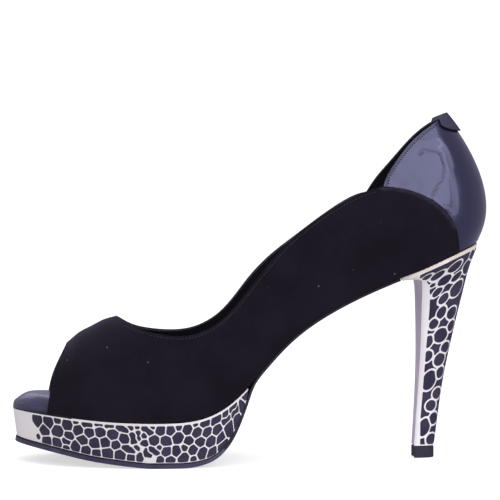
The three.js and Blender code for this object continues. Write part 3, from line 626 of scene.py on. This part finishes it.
margin = merged_copy("upper", "lasting_margin")
with editing(margin, "EDGE") as mesh:
    for edge in mesh.edges:
        foot = [f for f in edge.link_faces if f.normal.z < -0.5]
        wall = [f for f in edge.link_faces if f.normal.z >= -0.5]
        middle = (edge.verts[0].co + edge.verts[1].co) / 2
        inwards = bool(wall) and wall[0].normal.dot(middle - foot_line(middle.x)) < 0
        edge.select = len(foot) == 1 and inwards
    bpy.ops.mesh.extrude_edges_move()
    for vertex in mesh.verts:
        if vertex.select:
            inward = foot_line(vertex.co.x) - vertex.co
            inward.z = 0
            vertex.co += inward.normalized() * MARGIN
    bpy.ops.mesh.select_all(action="INVERT")
    bpy.ops.mesh.delete(type="FACE")
apply_modifier(margin, "SOLIDIFY", thickness=MARGIN_THICKNESS, offset=0)
small_piece(margin, lining)
print("lasting margin faces:", len(margin.data.polygons))

# %% [markdown]
# Suede gives where the foot bends. Cloth simulation could crease it, but it is glued to a stiff lining and
# the creases are few and shallow, so each is placed one by one: a soft trough along a line of the side
# view, and beside the first a low ridge. The patent leather has a hooked crinkle and two low waves.

# %% Creases
PATH_STEPS = 12
CRINKLE_WIDTH = 0.7 * MM
# Each crease has two ends (x, z) in the side view, a reach and a depth, all in millimetres.
creases = [
    ((-7, 25), (7, 45), 5, 0.4), ((3, 24), (17, 44), 4, -0.25), ((-31, 27), (-23, 47), 6, 0.3),
    ((18, 36), (30, 52), 5, 0.25), ((58, 76), (78, 92), 7, 0.3),
]


def far_from_line(point, start, end):
    """How far a point of the side view is from the line between two others."""
    run = Vector(end) - Vector(start)
    offset = point - Vector(start)
    share = min(max(offset.dot(run) / run.length_squared, 0), 1)
    return (offset - run * share).length


moved = [(v, v.normal.copy()) for v in upper.data.vertices if abs(v.normal.y) > 0.3]
for vertex, normal in moved:
    if normal.dot(vertex.co - foot_line(vertex.co.x)) < 0:
        continue
    for start, end, width, depth in creases:
        far = far_from_line(Vector((vertex.co.x / MM, vertex.co.z / MM)), start, end)
        vertex.co -= normal * depth * MM * math.exp(-((far / width) ** 2))

# Each wave has a course in pixels of the photograph, a reach and a depth. The first is the crinkle.
counter_waves = [
    ([
        (418.5, 154), (423, 149), (429.5, 150), (435.3, 151.3), (441, 153.2), (442.7, 159.7), (445, 165.3),
        (444.2, 174.7), (441.8, 181.2), (437.1, 186.8), (434.3, 191.5), (431.5, 196),
    ], 0.75 * MM, 0.32 * MM),
    ([(430, 146), (437, 144), (444, 148), (448, 156), (450, 166)], 1.8 * MM, 0.16 * MM),
    ([(434.3, 200), (438.5, 203), (446.5, 209.5)], 1.3 * MM, -0.3 * MM),
]
wave_paths = []
for pixels, width, depth in counter_waves:
    met = [place for place in (seen_on(counter, *pixel) for pixel in pixels) if place]
    wave_paths.append([a.lerp(b, s / PATH_STEPS) for a, b in zip(met, met[1:]) for s in range(PATH_STEPS)])
    from_path = nearest_of(wave_paths[-1])
    for vertex, normal in [(v, v.normal.copy()) for v in counter.data.vertices]:
        far = from_path(vertex.co)
        if far < 4 * width:
            vertex.co -= normal * depth * math.exp(-((far / width) ** 2))
carried(counter, "crinkle", wave_paths[0], CRINKLE_WIDTH)
print("creases pressed:", len(creases), "waves:", len(counter_waves))

# %% [markdown]
# A topline is folded and stitched close to its edge. A texture could do it, but a row of small beads
# of thread catches the light as real ones do. One stitch is modelled from a ball and copied along the
# edge. At each place a level ray is lowered until it meets the wall, and the row runs a fixed way
# below that. On the counter the row first comes straight up out of the suede.

# %% Rows under an edge
ROW_BELOW = 1.3 * MM
FAR_OUT = 100 * MM
NEAR_MIDDLE = 2 * MM
EDGE_STEP = 0.25 * MM
COUNTER_REACH = (97 * MM, 122 * MM)
SUEDE_REACH = (-33 * MM, 92 * MM)
UNDER_SUEDE = 124 * MM


def ways_along(points):
    """How far along their line each of these points lies."""
    return np.concatenate([[0], np.cumsum(np.linalg.norm(np.diff(points, axis=0), axis=1))])


def point_at(way, ways, points):
    """The point at this way along a line of points."""
    return np.array([np.interp(way, ways, points[:, k]) for k in range(3)])


def from_the_side(piece, side, x, z):
    """Where a level ray from this side meets the piece, and the normal there."""
    hit, place, normal, _ = piece.ray_cast(Vector((x, side * FAR_OUT, z)), Vector((0, -side, 0)))
    return (place.copy(), normal.copy()) if hit and place.y * side > NEAR_MIDDLE else None


def edge_height(piece, x, side, low, high):
    """The height of the first level ray, from high to low, that meets the piece."""
    for level in np.arange(high, low, -EDGE_STEP):
        if from_the_side(piece, side, x, level):
            return level
    return low


def row_under_edge(piece, node, side, reach, below):
    """Places and outward normals on the piece, this far below its upper edge."""
    spots = np.linspace(*reach, 90)
    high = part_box(node)[1].z
    tops = [edge_height(piece, x, side, foot_line(x).z - BELOW_INSOLE, high) for x in spots]
    tops = np.convolve(np.pad(tops, 3, "edge"), np.full(7, 1 / 7), "valid")
    row = []
    for x, top, slope in zip(spots, tops, np.gradient(tops, spots)):
        across = Vector((slope, -1)).normalized() * below
        row.append(from_the_side(piece, side, x + across.x, top + across.y))
    return [spot for spot in row if spot]


def counter_row(side, below, foot_x):
    """A row up out of the suede, and on along the counter's edge."""
    row = row_under_edge(counter, "patent_counter", side, COUNTER_REACH, below)
    run, climb = row[0][0].x - foot_x, row[0][0].z - UNDER_SUEDE
    start = [
        from_the_side(counter, side, foot_x + run * share, UNDER_SUEDE + climb * share)
        for share in np.linspace(0, 1, 16, endpoint=False)
    ]
    return [spot for spot in start if spot] + row


counter_rows = [counter_row(side, ROW_BELOW, 96.4 * MM) for side in (-1, 1)]
suede_rows = [row_under_edge(upper, "upper", side, SUEDE_REACH, ROW_BELOW) for side in (-1, 1)]
print("places on the rows:", len(counter_rows[0]), len(suede_rows[0]))

# %% Stitches
HALF_STITCH = 0.3 * MM
STITCH_LIFT = 0.03 * MM


def piece_of(name, corners, faces):
    """A new piece from corners and faces."""
    mesh = bpy.data.meshes.new(name)
    mesh.from_pydata(corners, [], faces)
    return placed(name, mesh)


def stitched(name, rows, spacing, length, width, material):
    """Rows of stitches as one piece: one stitch from a ball, copied along each row."""
    bpy.ops.mesh.primitive_uv_sphere_add(segments=8, ring_count=5, radius=1)
    stitch = bpy.context.object
    corners = np.array([tuple(v.co) for v in stitch.data.vertices])
    faces = [tuple(f.vertices) for f in stitch.data.polygons]
    bpy.data.objects.remove(stitch)
    all_corners, all_faces = [], []
    for row in rows:
        places, normals = (np.array([tuple(spot[k]) for spot in row]) for k in (0, 1))
        ways = ways_along(places)
        for at in np.arange(spacing, ways[-1] - spacing / 2, spacing):
            start, end = (Vector(point_at(at + d, ways, places)) for d in (-HALF_STITCH, HALF_STITCH))
            out = Vector(point_at(at, ways, normals)).normalized()
            along = (end - start).normalized()
            over = out.cross(along).normalized()
            shape = np.array([along * length / 2, over * width / 2, out * width * 0.4])
            all_faces += [tuple(i + len(all_corners) for i in face) for face in faces]
            all_corners += (corners @ shape + np.array((start + end) / 2 + out * STITCH_LIFT)).tolist()
    piece = piece_of(name, all_corners, all_faces)
    only(piece)
    bpy.ops.object.shade_smooth()
    small_piece(piece, material)
    print(f"{name}: {len(all_faces) // len(faces)} stitches")


stitched("counter_stitches", counter_rows, 1.3 * MM, 0.85 * MM, 0.6 * MM, thread)
stitched("suede_stitches", suede_rows, 1.5 * MM, 0.95 * MM, 0.3 * MM, pale_thread)

# %% [markdown]
# Between stitches and fold the patent leather swells into a thin roll, which draws a line of light
# along the counter's edge. A wide bevel could make it, but a curve with a round section, half sunk in
# the leather and turned into a mesh, follows the stitches.

# %% Rolled edge of the counter
def cord_along(name, points, radius, material):
    """A thin round cord through these points, as a mesh."""
    data = bpy.data.curves.new(name, "CURVE")
    data.dimensions = "3D"
    data.bevel_depth = radius
    data.bevel_resolution = 3
    data.use_fill_caps = True
    spline = data.splines.new("POLY")
    spline.points.add(len(points) - 1)
    for target, point in zip(spline.points, points):
        target.co = (*point, 1)
    only(placed(name, data))
    bpy.ops.object.convert(target="MESH")
    cord = bpy.context.object
    bpy.ops.object.shade_smooth()
    small_piece(cord, material)
    print(f"{name}: {len(points)} points")


ROLL = 0.36 * MM
ROLL_BELOW = 0.45 * MM
for side, name in ((-1, "outer_roll"), (1, "inner_roll")):
    row = counter_row(side, ROLL_BELOW, 95.8 * MM)
    sunk = [place - normal * ROLL * 0.2 for place, normal in row]
    cord_along(name, sunk, ROLL, patent.material)

# %% [markdown]
# The tab is a strip of leather folded over the back seam and stitched down near its rounded foot. The
# line of that seam is read off the photograph, and the far side has the same line mirrored.

# %% Stitches of the tab
TAB_MIDDLE = 1.5 * MM
tab_line = [(436, 124), (438.5, 127.5), (443, 129.6), (449, 130.6), (455, 130.2), (458.5, 128.5)]


def on_tab(place):
    """The nearest place on the tab, with its normal."""
    _, place, normal, _ = tab.closest_point_on_mesh(place)
    return place.copy(), normal.copy()


tab_places = [seen_on(tab, across, down) for across, down in tab_line]
tab_row = [on_tab(place) for place in tab_places if place]
inner_row = [on_tab(Vector((p.x, 2 * TAB_MIDDLE - p.y, p.z))) for p, _ in tab_row]
print("points on the tab's row:", len(tab_row))
stitched("tab_stitches", [tab_row, inner_row], 1 * MM, 0.7 * MM, 0.28 * MM, thread)

# %% [markdown]
# The foil carries a print of dark cells, parted by even silver lines. A texture could do it, but its
# cells would neither stop at the silver borders nor follow the photograph. So the print is charted
# flat, like paper laid on the wall: across is the way round the shoe, down is the height, and the
# chart says how deep inside a cell each place lies. A grid of small squares is cut where that depth is
# nought, wrapped on the wall and given a hair's thickness.

# %% Cutting and wrapping a chart
SQUARE = 0.35 * MM
LEAST_SHARE = 0.05
PRINT_LIFT = 0.07 * MM
PRINT_SKIRT = 0.25 * MM
LINE = 0.68 * MM


def softened(depth):
    """Every value averaged with its neighbours, which rounds the corners of the cells."""
    across = (np.roll(depth, 1, 0) + 2 * depth + np.roll(depth, -1, 0)) / 4
    return (np.roll(across, 1, 1) + 2 * across + np.roll(across, -1, 1)) / 4


def cut_squares(depth, ways, drops):
    """Corners and faces of the part of the grid where the depth is over nought."""
    corners, faces, known = [], [], {}
    inside = depth > 0

    def corner(key, place):
        if key not in known:
            known[key] = len(corners)
            corners.append((place[0], place[1], 0))
        return known[key]

    def crossing(a, b):
        a, b = min(a, b), max(a, b)
        share = min(max(depth[a] / (depth[a] - depth[b]), LEAST_SHARE), 1 - LEAST_SHARE)
        across = ways[a[0]] + (ways[b[0]] - ways[a[0]]) * share
        return corner((a, b), (across, drops[a[1]] + (drops[b[1]] - drops[a[1]]) * share))

    touched = inside[:-1, :-1] | inside[1:, :-1] | inside[:-1, 1:] | inside[1:, 1:]
    for i, j in np.argwhere(touched).tolist():
        ring = [(i, j), (i + 1, j), (i + 1, j + 1), (i, j + 1)]
        face = []
        for a, b in zip(ring, ring[1:] + ring[:1]):
            if inside[a]:
                face.append(corner(a, (ways[a[0]], drops[a[1]])))
            if inside[a] != inside[b]:
                face.append(crossing(a, b))
        if len(face) < 6:
            faces.append(face)
        elif inside[ring[0]]:
            faces += [[face[5], face[0], face[1]], face[2:5]]
        else:
            faces += [face[:3], face[3:]]
    return corners, faces


def printed(name, depth_at, ways, drops, wrap, carrier):
    """Cut the chart, lay it on the carrier and thicken it, as one piece."""
    depth = np.array([depth_at(np.stack([np.full(len(drops), way), drops], axis=1)) for way in ways])
    corners, faces = cut_squares(softened(depth), ways, drops)
    piece = piece_of(name, corners, faces)
    mesh = piece.data
    for vertex in mesh.vertices:
        _, place, normal, _ = carrier.closest_point_on_mesh(wrap(vertex.co.x, vertex.co.y))
        vertex.co = place + normal * PRINT_LIFT
    some_faces = list(mesh.polygons)[::97]
    if sum(face.normal.dot(carrier.closest_point_on_mesh(face.center)[2]) for face in some_faces) < 0:
        with editing(piece):
            bpy.ops.mesh.select_all(action="SELECT")
            bpy.ops.mesh.flip_normals()
    apply_modifier(piece, "SOLIDIFY", thickness=PRINT_SKIRT, offset=-1, use_rim_only=True)
    only(piece)
    bpy.ops.object.shade_smooth_by_angle(angle=math.radians(40))
    small_piece(piece, cell_print)
    print(f"{name}: {len(faces)} faces on the chart, {len(piece.data.polygons)} in all")


# %% [markdown]
# The chart is read off the photograph cell by cell: across and down in pixels, and how wide the cell is
# from its middle. The cells share the wall as soap bubbles do, less half a line each. Bare cells leave the
# silver patches. The inner side, which the photograph hides, carries the same print mirrored.

# %% Cells of the platform
TOP_BAND = 1 * MM
FOOT_BAND = 0.55 * MM
CELL_REACH = 1.45
REAR = 32 * MM
MEDIAL_SHIFT = 1.5 * MM
# Each cell is a circle (across, down, radius) in pixels of the photograph, or two or three in a row.
platform_cells = [
    (38, 420, 5.4), (49.3, 421.8, 5.2), (57.8, 420.3, 3), (68, 425, 5.4), (76.3, 422, 2.3),
    [(85.5, 424, 2.6), (89.5, 424.6, 2.6)], [(97, 424, 1.8), (101.5, 424.4, 1.8)], (44, 430.7, 4.9),
    (57.8, 431, 5.7), (68.6, 435.7, 4.2), (78.3, 430, 5.1), (89.3, 432.8, 4.8), (100.5, 432.2, 5),
    (37.5, 436.4, 2.1), (45.4, 441.3, 5.2), (56.6, 443.2, 4.9), [(64.5, 441, 2.5), (67.5, 441.6, 2.5)],
    (65.3, 448.4, 3.1), (75, 446.7, 5.2), (82.5, 440, 5), (85.3, 450.7, 5), (94.5, 443, 5.3),
    (95.8, 453.3, 4), (104.8, 442.4, 4.9), (107.2, 453.5, 5.2), [(107, 425.6, 1.9), (112, 426, 1.9)],
    (113, 434.5, 5.4), (116, 444.6, 4), (120, 455, 5.1), [(119.3, 427, 3.2), (125.5, 430, 2.9)],
    [(128.6, 426.3, 1.9), (131.2, 428, 1.9)], (137.4, 426.8, 2), (124.3, 438.8, 5.1),
    [(132.6, 435.8, 2.9), (134, 441, 2.9)], [(138.2, 433, 1.9), (139, 438.5, 1.9)],
    [(125.3, 448.2, 3.2), (131.5, 451, 2.9)], [(136, 447.3, 1.8), (138.8, 449, 1.6)], (131, 457.5, 3.6),
    [(139.5, 457.8, 3.2), (140, 454.5, 1.6)], [(144.5, 428, 2.7), (149.8, 432, 2.8)], (152.8, 427.3, 2),
    (143.8, 436.3, 2.3), (144.5, 443.2, 3.5), (154, 440.8, 4.9), (160.8, 430, 4.9), (170.4, 430.5, 4.7),
    (165.7, 441.2, 4.9), [(145.3, 450.5, 2.3), (146.6, 454.2, 2.8), (149.5, 456.6, 2.6)],
    [(151.3, 449.5, 2.7), (156, 452.4, 2.9)], (159.3, 447.9, 2), (166.5, 451.5, 4.7), (159.5, 460, 3.5),
    (170.4, 460, 3.7), (178.4, 427.3, 2.7), (187.5, 429.5, 4.6), (178, 437.5, 5.1), (195.3, 424.3, 2),
    (197.2, 432.2, 4.9), (188.5, 441, 3.9), (184.6, 447.8, 2.6), (176.5, 451.5, 4.4), (184, 457.8, 4.7),
    (193.5, 450, 4.7), (193.8, 459.2, 2.4), [(203, 424.3, 2.9), (207, 423, 2.9)], (206.8, 432.2, 4.6),
    (200.3, 442, 4.6), (202.5, 453, 5.2), [(213.4, 421.2, 2.7), (217.6, 419.4, 2.7)], (217.2, 429.7, 4.8),
    (211, 441.3, 5.1), (212, 453, 4.9), (225.5, 414.4, 2.9), [(224.3, 420.8, 2.2), (228, 419, 2.2)],
    (229, 427.3, 5.4), (220.7, 437.7, 4.3), [(231.2, 409, 2.1), (234.2, 406.4, 2.1)],
    [(233.4, 412.8, 2.4), (236.8, 410.8, 2.4)], (241.3, 404.7, 4.1),
    [(243.4, 397.4, 2.1), (246, 394.4, 2.1)], (236.3, 418.6, 4.3), (231, 437.5, 4.5), (222, 447, 4.3),
]
bare_places = [
    (28, 420, 4), (32, 429, 4), (33, 443, 4), (149, 460.5, 2.6), (154, 458.5, 1.2), (142.2, 449, 1),
]
print("cells:", len(platform_cells))

# %% The platform's wall
TOE_MIDDLE = 3.9 * MM
UPRIGHT = 0.6
FACING_BACK = 0.98


def wall_rails(node):
    """The upper and lower edge of the side wall, from the outer side's back round the toe."""
    flat = merged_copy(node, "rails")
    mesh = bmesh.new()
    mesh.from_mesh(flat.data)
    mesh.normal_update()
    walls = [
        face for face in mesh.faces
        if abs(face.normal.z) < 0.7 and (abs(face.normal.y) > 0.1 or face.calc_center_median().x < 0)
    ]
    uprights = {}
    for edge in mesh.edges:
        low, high = sorted((v.co.copy() for v in edge.verts), key=lambda co: co.z)
        on_wall = sum(face in walls for face in edge.link_faces)
        at_end = on_wall == 1 and any(face.normal.x > FACING_BACK for face in edge.link_faces)
        if (on_wall == 2 or at_end) and (high - low).normalized().z > UPRIGHT:
            side = 1 if (low.y + high.y) / 2 > TOE_MIDDLE else -1
            uprights[side, round(high.x, 5)] = (side, high, low)
    mesh.free()
    bpy.data.objects.remove(flat)
    ordered = sorted(uprights.values(), key=lambda u: (u[0], u[0] * u[1].x))
    return (np.array([tuple(u[k]) for u in ordered]) for k in (1, 2))


rail_top, rail_foot = wall_rails("platform")
rail_middle = (rail_top + rail_foot) / 2
rail_way = ways_along(rail_middle)
rail_drop = np.linalg.norm(rail_top - rail_foot, axis=1)
toe_at = int(rail_middle[:, 0].argmin())
print("platform wall:", round(rail_way[-1] / MM), "mm round")

# %% Platform print
def on_platform(way, drop):
    """The point of the wall at this way round and this far under its upper edge."""
    share = drop / np.interp(way, rail_way, rail_drop)
    top, foot = (point_at(way, rail_way, rail) for rail in (rail_top, rail_foot))
    return Vector(top + (foot - top) * share)


def platform_chart(side, place):
    """The chart's place of a point on the outer side, there (-1) or mirrored on the inner (1)."""
    part = slice(0, toe_at + 1) if side < 0 else slice(toe_at, None)
    order = np.argsort(rail_middle[part, 0])
    shift = 0 if side < 0 else MEDIAL_SHIFT
    way = np.interp(place.x + shift, rail_middle[part, 0][order], rail_way[part][order])
    top = np.interp(way, rail_way, rail_top[:, 2])
    steepness = np.interp(way, rail_way, rail_drop / (rail_top[:, 2] - rail_foot[:, 2]))
    return way, (top - place.z) * steepness


circles = []
for number, cell in enumerate(platform_cells + bare_places):
    for across, down, radius in cell if isinstance(cell, list) else [cell]:
        place = seen_on(platform, across, down)
        for side in (-1, 1) if place else ():
            owner = side * (number + 1) if number < len(platform_cells) else 0
            circles.append((*platform_chart(side, place), radius * PIXEL, owner))
circles = np.array(circles)
circle_places, circle_radii, circle_owner = circles[:, :2], circles[:, 2], circles[:, 3]
print("circles on the platform's chart:", len(circles))


def platform_depth(places):
    """How deep inside a cell each place lies, less than nought on lines and borders."""
    away = ((places[:, None, :] - circle_places) ** 2).sum(axis=-1) - circle_radii ** 2
    nearest = away.argmin(axis=1)
    owner = circle_owner[nearest]
    others = np.where(circle_owner == owner[:, None], np.inf, away)
    second = others.argmin(axis=1)
    apart = np.linalg.norm(circle_places[nearest] - circle_places[second], axis=1)
    depth = (others.min(axis=1) - away.min(axis=1)) / (2 * apart) - LINE / 2
    middle = np.linalg.norm(places - circle_places[nearest], axis=1)
    rear = np.clip(1 - np.minimum(places[:, 0], rail_way[-1] - places[:, 0]) / REAR, 0, 1)
    depth = np.minimum(depth, circle_radii[nearest] * CELL_REACH * (1 + rear) - middle)
    room = np.interp(places[:, 0], rail_way, rail_drop) - FOOT_BAND * (1 - rear)
    depth = np.minimum(depth, np.minimum(places[:, 1] - TOP_BAND, room - places[:, 1]))
    return np.where(owner == 0, -LINE, depth)


platform_ways = np.arange(0, rail_way[-1], SQUARE)
platform_drops = np.arange(0, rail_drop.max() + SQUARE, SQUARE)
printed("platform_print", platform_depth, platform_ways, platform_drops, on_platform, platform)

# %% [markdown]
# Round the toe a dark cord closes the joint between wrap and insole. Under the wrap a thin near-black cord
# runs along the joint with the outsole: painted shade, the shadow in that crevice. Either could be a bevel
# on its neighbour, but each is a narrow thing of its own, so each is a thin curve along a rail of the
# wall.

# %% Cord round the toe, and painted shade along the outsole's joint
CORD = 0.4 * MM
CORD_END = -46 * MM
JOINT = 0.3 * MM
JOINT_END = 26 * MM
toe_cord = []
for x, y, z in rail_top[rail_top[:, 0] < CORD_END]:
    inwards = -Vector((x, y, 0)).normalized()
    toe_cord.append(Vector((x, y, z)) + inwards * CORD)
cord_along("toe_cord", toe_cord, CORD, ink_and_joint_shade)
# A near-black cord under the wrap: painted shade in the joint with the outsole.
joint_shade_line = [Vector(foot) for foot in rail_foot if foot[0] < JOINT_END]
cord_along("outsole_joint_shade", joint_shade_line, JOINT, ink_and_joint_shade)

# %% [markdown]
# The heel's cells are round and lean back, each ringed by its own line, and the dark left between the
# rings is cell too, in small curved stars. The chart runs from the line down the middle of the back
# outwards to the two front corners. The strip along each corner, the seat's rim and a band over the
# tip stay plain silver.

# %% Rings of the heel
SEAT_RIM = 1.8 * MM
TIP_BAND = 6.3 * MM
RING_LINE = 0.86 * MM
# The course of the print's front edge, in pixels of the photograph.
print_edge = [
    (418.8, 446), (420.3, 420), (422, 400), (424.4, 370), (426, 350), (427.7, 330), (429.5, 310),
    (430, 296), (429.6, 290), (428.6, 285), (426, 281), (419.5, 278.3),
]
# Each ring has its middle (across, down) in pixels, its half length, its half width and its lean.
heel_rings = [
    (437, 275.5, 6, 3.8, 42), (443.5, 280.4, 6.6, 3.8, 42), (456, 276.5, 6, 3.2, 33),
    (457, 288.3, 8.8, 5.6, 20), (437, 292, 5.8, 3.3, 27), (443.4, 298.5, 6, 4.1, 22),
    (441, 312.6, 6.5, 4.3, 3), (451.7, 312.8, 6.4, 4.7, 12), (433.5, 323.8, 5.4, 4.5, 0),
    (451, 325.7, 5.7, 3.4, 10), (440.3, 335.2, 7.4, 6.3, 5), (427.4, 342, 6.6, 4.8, 5),
    (445.4, 347.3, 5.7, 4.3, 8), (427.2, 356.4, 5.7, 5.1, 0), (439.4, 359.2, 6.8, 5.4, 8),
    (440, 372.3, 5.8, 4.2, 5), (428.6, 380.2, 10, 6.9, 3), (437, 393.2, 5.7, 4.5, 5),
    (430.7, 405.4, 5.5, 5.1, 0), (433.4, 418.2, 6, 4.5, 5), (423.8, 427.3, 9.2, 6, 10),
    (431, 439, 5.7, 5, 0), (467, 266.5, 7, 4.2, 25), (471.5, 255, 5, 2.4, 30),
    (425.8, 277.6, 4.2, 3, 55), (432, 285.3, 2.8, 2, 60), (454.5, 266.5, 6.5, 4.6, 40),
]
print("rings:", len(heel_rings))

# %% The heel's wall
SLICE = 1 * MM
LONGEST = 40


def heel_side(side, height):
    """The heel's outline at this height, from the middle of the back to a front corner."""
    front = heel.ray_cast(Vector((0, 0, height)), Vector((1, 0, 0)))[1].x
    back = heel.ray_cast(Vector((0.3, 0, height)), Vector((-1, 0, 0)))[1].x
    axis = Vector(((front + back) / 2, 0, height))
    found = []
    for degrees in range(0, 178, 3):
        turn = math.radians(degrees)
        way = Vector((math.cos(turn), side * math.sin(turn), 0))
        hit, place, normal, _ = heel.ray_cast(axis + way * 0.2, -way)
        if not hit or normal.z > 0.75 or (degrees > 60 and normal.x < -0.72):
            break
        found.append(place.copy())
    return found


heel_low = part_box("heel")[0].z + 0.5 * MM
heel_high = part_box("heel")[1].z - 0.8 * MM
heel_levels = np.arange(heel_low, heel_high, SLICE)


def heel_row(side, level):
    """A point every millimetre along that outline, and its length."""
    points = np.array([tuple(p) for p in heel_side(side, level)])
    reached = ways_along(points)
    ways = np.minimum(np.arange(LONGEST) * MM, reached[-1])
    return [point_at(way, reached, points) for way in ways], reached[-1]


heel_rows = [[heel_row(side, level) for level in heel_levels] for side in (-1, 1)]
heel_grid = np.array([[points for points, _ in rows] for rows in heel_rows])
heel_half = np.array([[half for _, half in rows] for rows in heel_rows])
print("heel wall, half way round, mm:", round(heel_half.max() / MM, 1))

# %% Heel print
def heel_points(places):
    """The heel's surface at places of its chart."""
    places = np.asarray(places)
    side = (places[..., 0] > 0).astype(int)
    row = np.clip((places[..., 1] - heel_low) / SLICE, 0, len(heel_levels) - 1.001)
    column = np.clip(np.abs(places[..., 0]) / MM, 0, LONGEST - 1.001)
    below, before = row.astype(int), column.astype(int)
    up, over = (row - below)[..., None], (column - before)[..., None]
    low, high = (
        heel_grid[side, level, before] * (1 - over) + heel_grid[side, level, before + 1] * over
        for level in (below, below + 1)
    )
    return low * (1 - up) + high * up


def heel_chart(side, place):
    """The chart's place of a point on the outer side, there (-1) or mirrored on the inner (1)."""
    row = int(np.clip((place.z - heel_low) / SLICE, 0, len(heel_levels) - 1))
    line = heel_grid[int(side > 0), row, :, 0]
    return side * np.interp(-place.x, -line, np.arange(LONGEST) * MM), place.z


edge_places = [place for place in (seen_on(heel, *pixel) for pixel in print_edge) if place]
print("points on the print's front edge:", len(edge_places))
edge_heights = [place.z for place in edge_places]
edge_x = [place.x for place in edge_places]
seat_x = np.linspace(106 * MM, 141 * MM, 15)
seat_z = [heel.ray_cast(Vector((x, 0, 0.2)), Vector((0, 0, -1)))[1].z for x in seat_x]
rings = []
for across, down, long_half, short_half, lean in heel_rings:
    middle = seen_on(heel, across, down)
    edge = seen_on(heel, across - short_half, down)
    for side in (-1, 1):
        way, height = heel_chart(side, middle)
        width = abs(heel_chart(side, edge)[0] - way) if edge else short_half * PIXEL
        if side < 0 or way > width + RING_LINE / 2:
            rings.append((way, height, width, long_half * PIXEL, -side * math.radians(lean)))
rings = np.array(rings)


def heel_depth(places):
    """How deep inside a ring or a star each place lies."""
    across = places[:, None, 0] - rings[:, 0]
    up = places[:, None, 1] - rings[:, 1]
    lean = rings[:, 4]
    along = across * np.sin(lean) + up * np.cos(lean)
    over = across * np.cos(lean) - up * np.sin(lean)
    size = (rings[:, 2] + rings[:, 3]) / 2
    out = (np.hypot(over / rings[:, 2], along / rings[:, 3]) - 1) * size
    first, second = np.sort(out, axis=1)[:, :2].T
    depth = np.maximum(np.minimum(-first, (second - first - RING_LINE) / 2), first - RING_LINE)
    way, height = places[:, 0], places[:, 1]
    outer, inner = (np.interp(height, heel_levels, half) for half in heel_half)
    to_corner = np.where(way < 0, outer, inner) - np.abs(way)
    x = heel_points(places)[:, 0]
    to_strip = np.minimum(x - np.interp(height, edge_heights, edge_x), to_corner)
    to_seat = np.interp(x, seat_x, seat_z) - SEAT_RIM - height
    return np.minimum.reduce([depth, to_strip, to_seat, height - TIP_BAND])


heel_ways = np.arange(-LONGEST * MM, LONGEST * MM, SQUARE)
heel_heights = np.arange(TIP_BAND - 2 * SQUARE, heel_high, SQUARE)
printed(
    "heel_print", heel_depth, heel_ways, heel_heights,
    lambda way, height: Vector(heel_points((way, height))), heel,
)
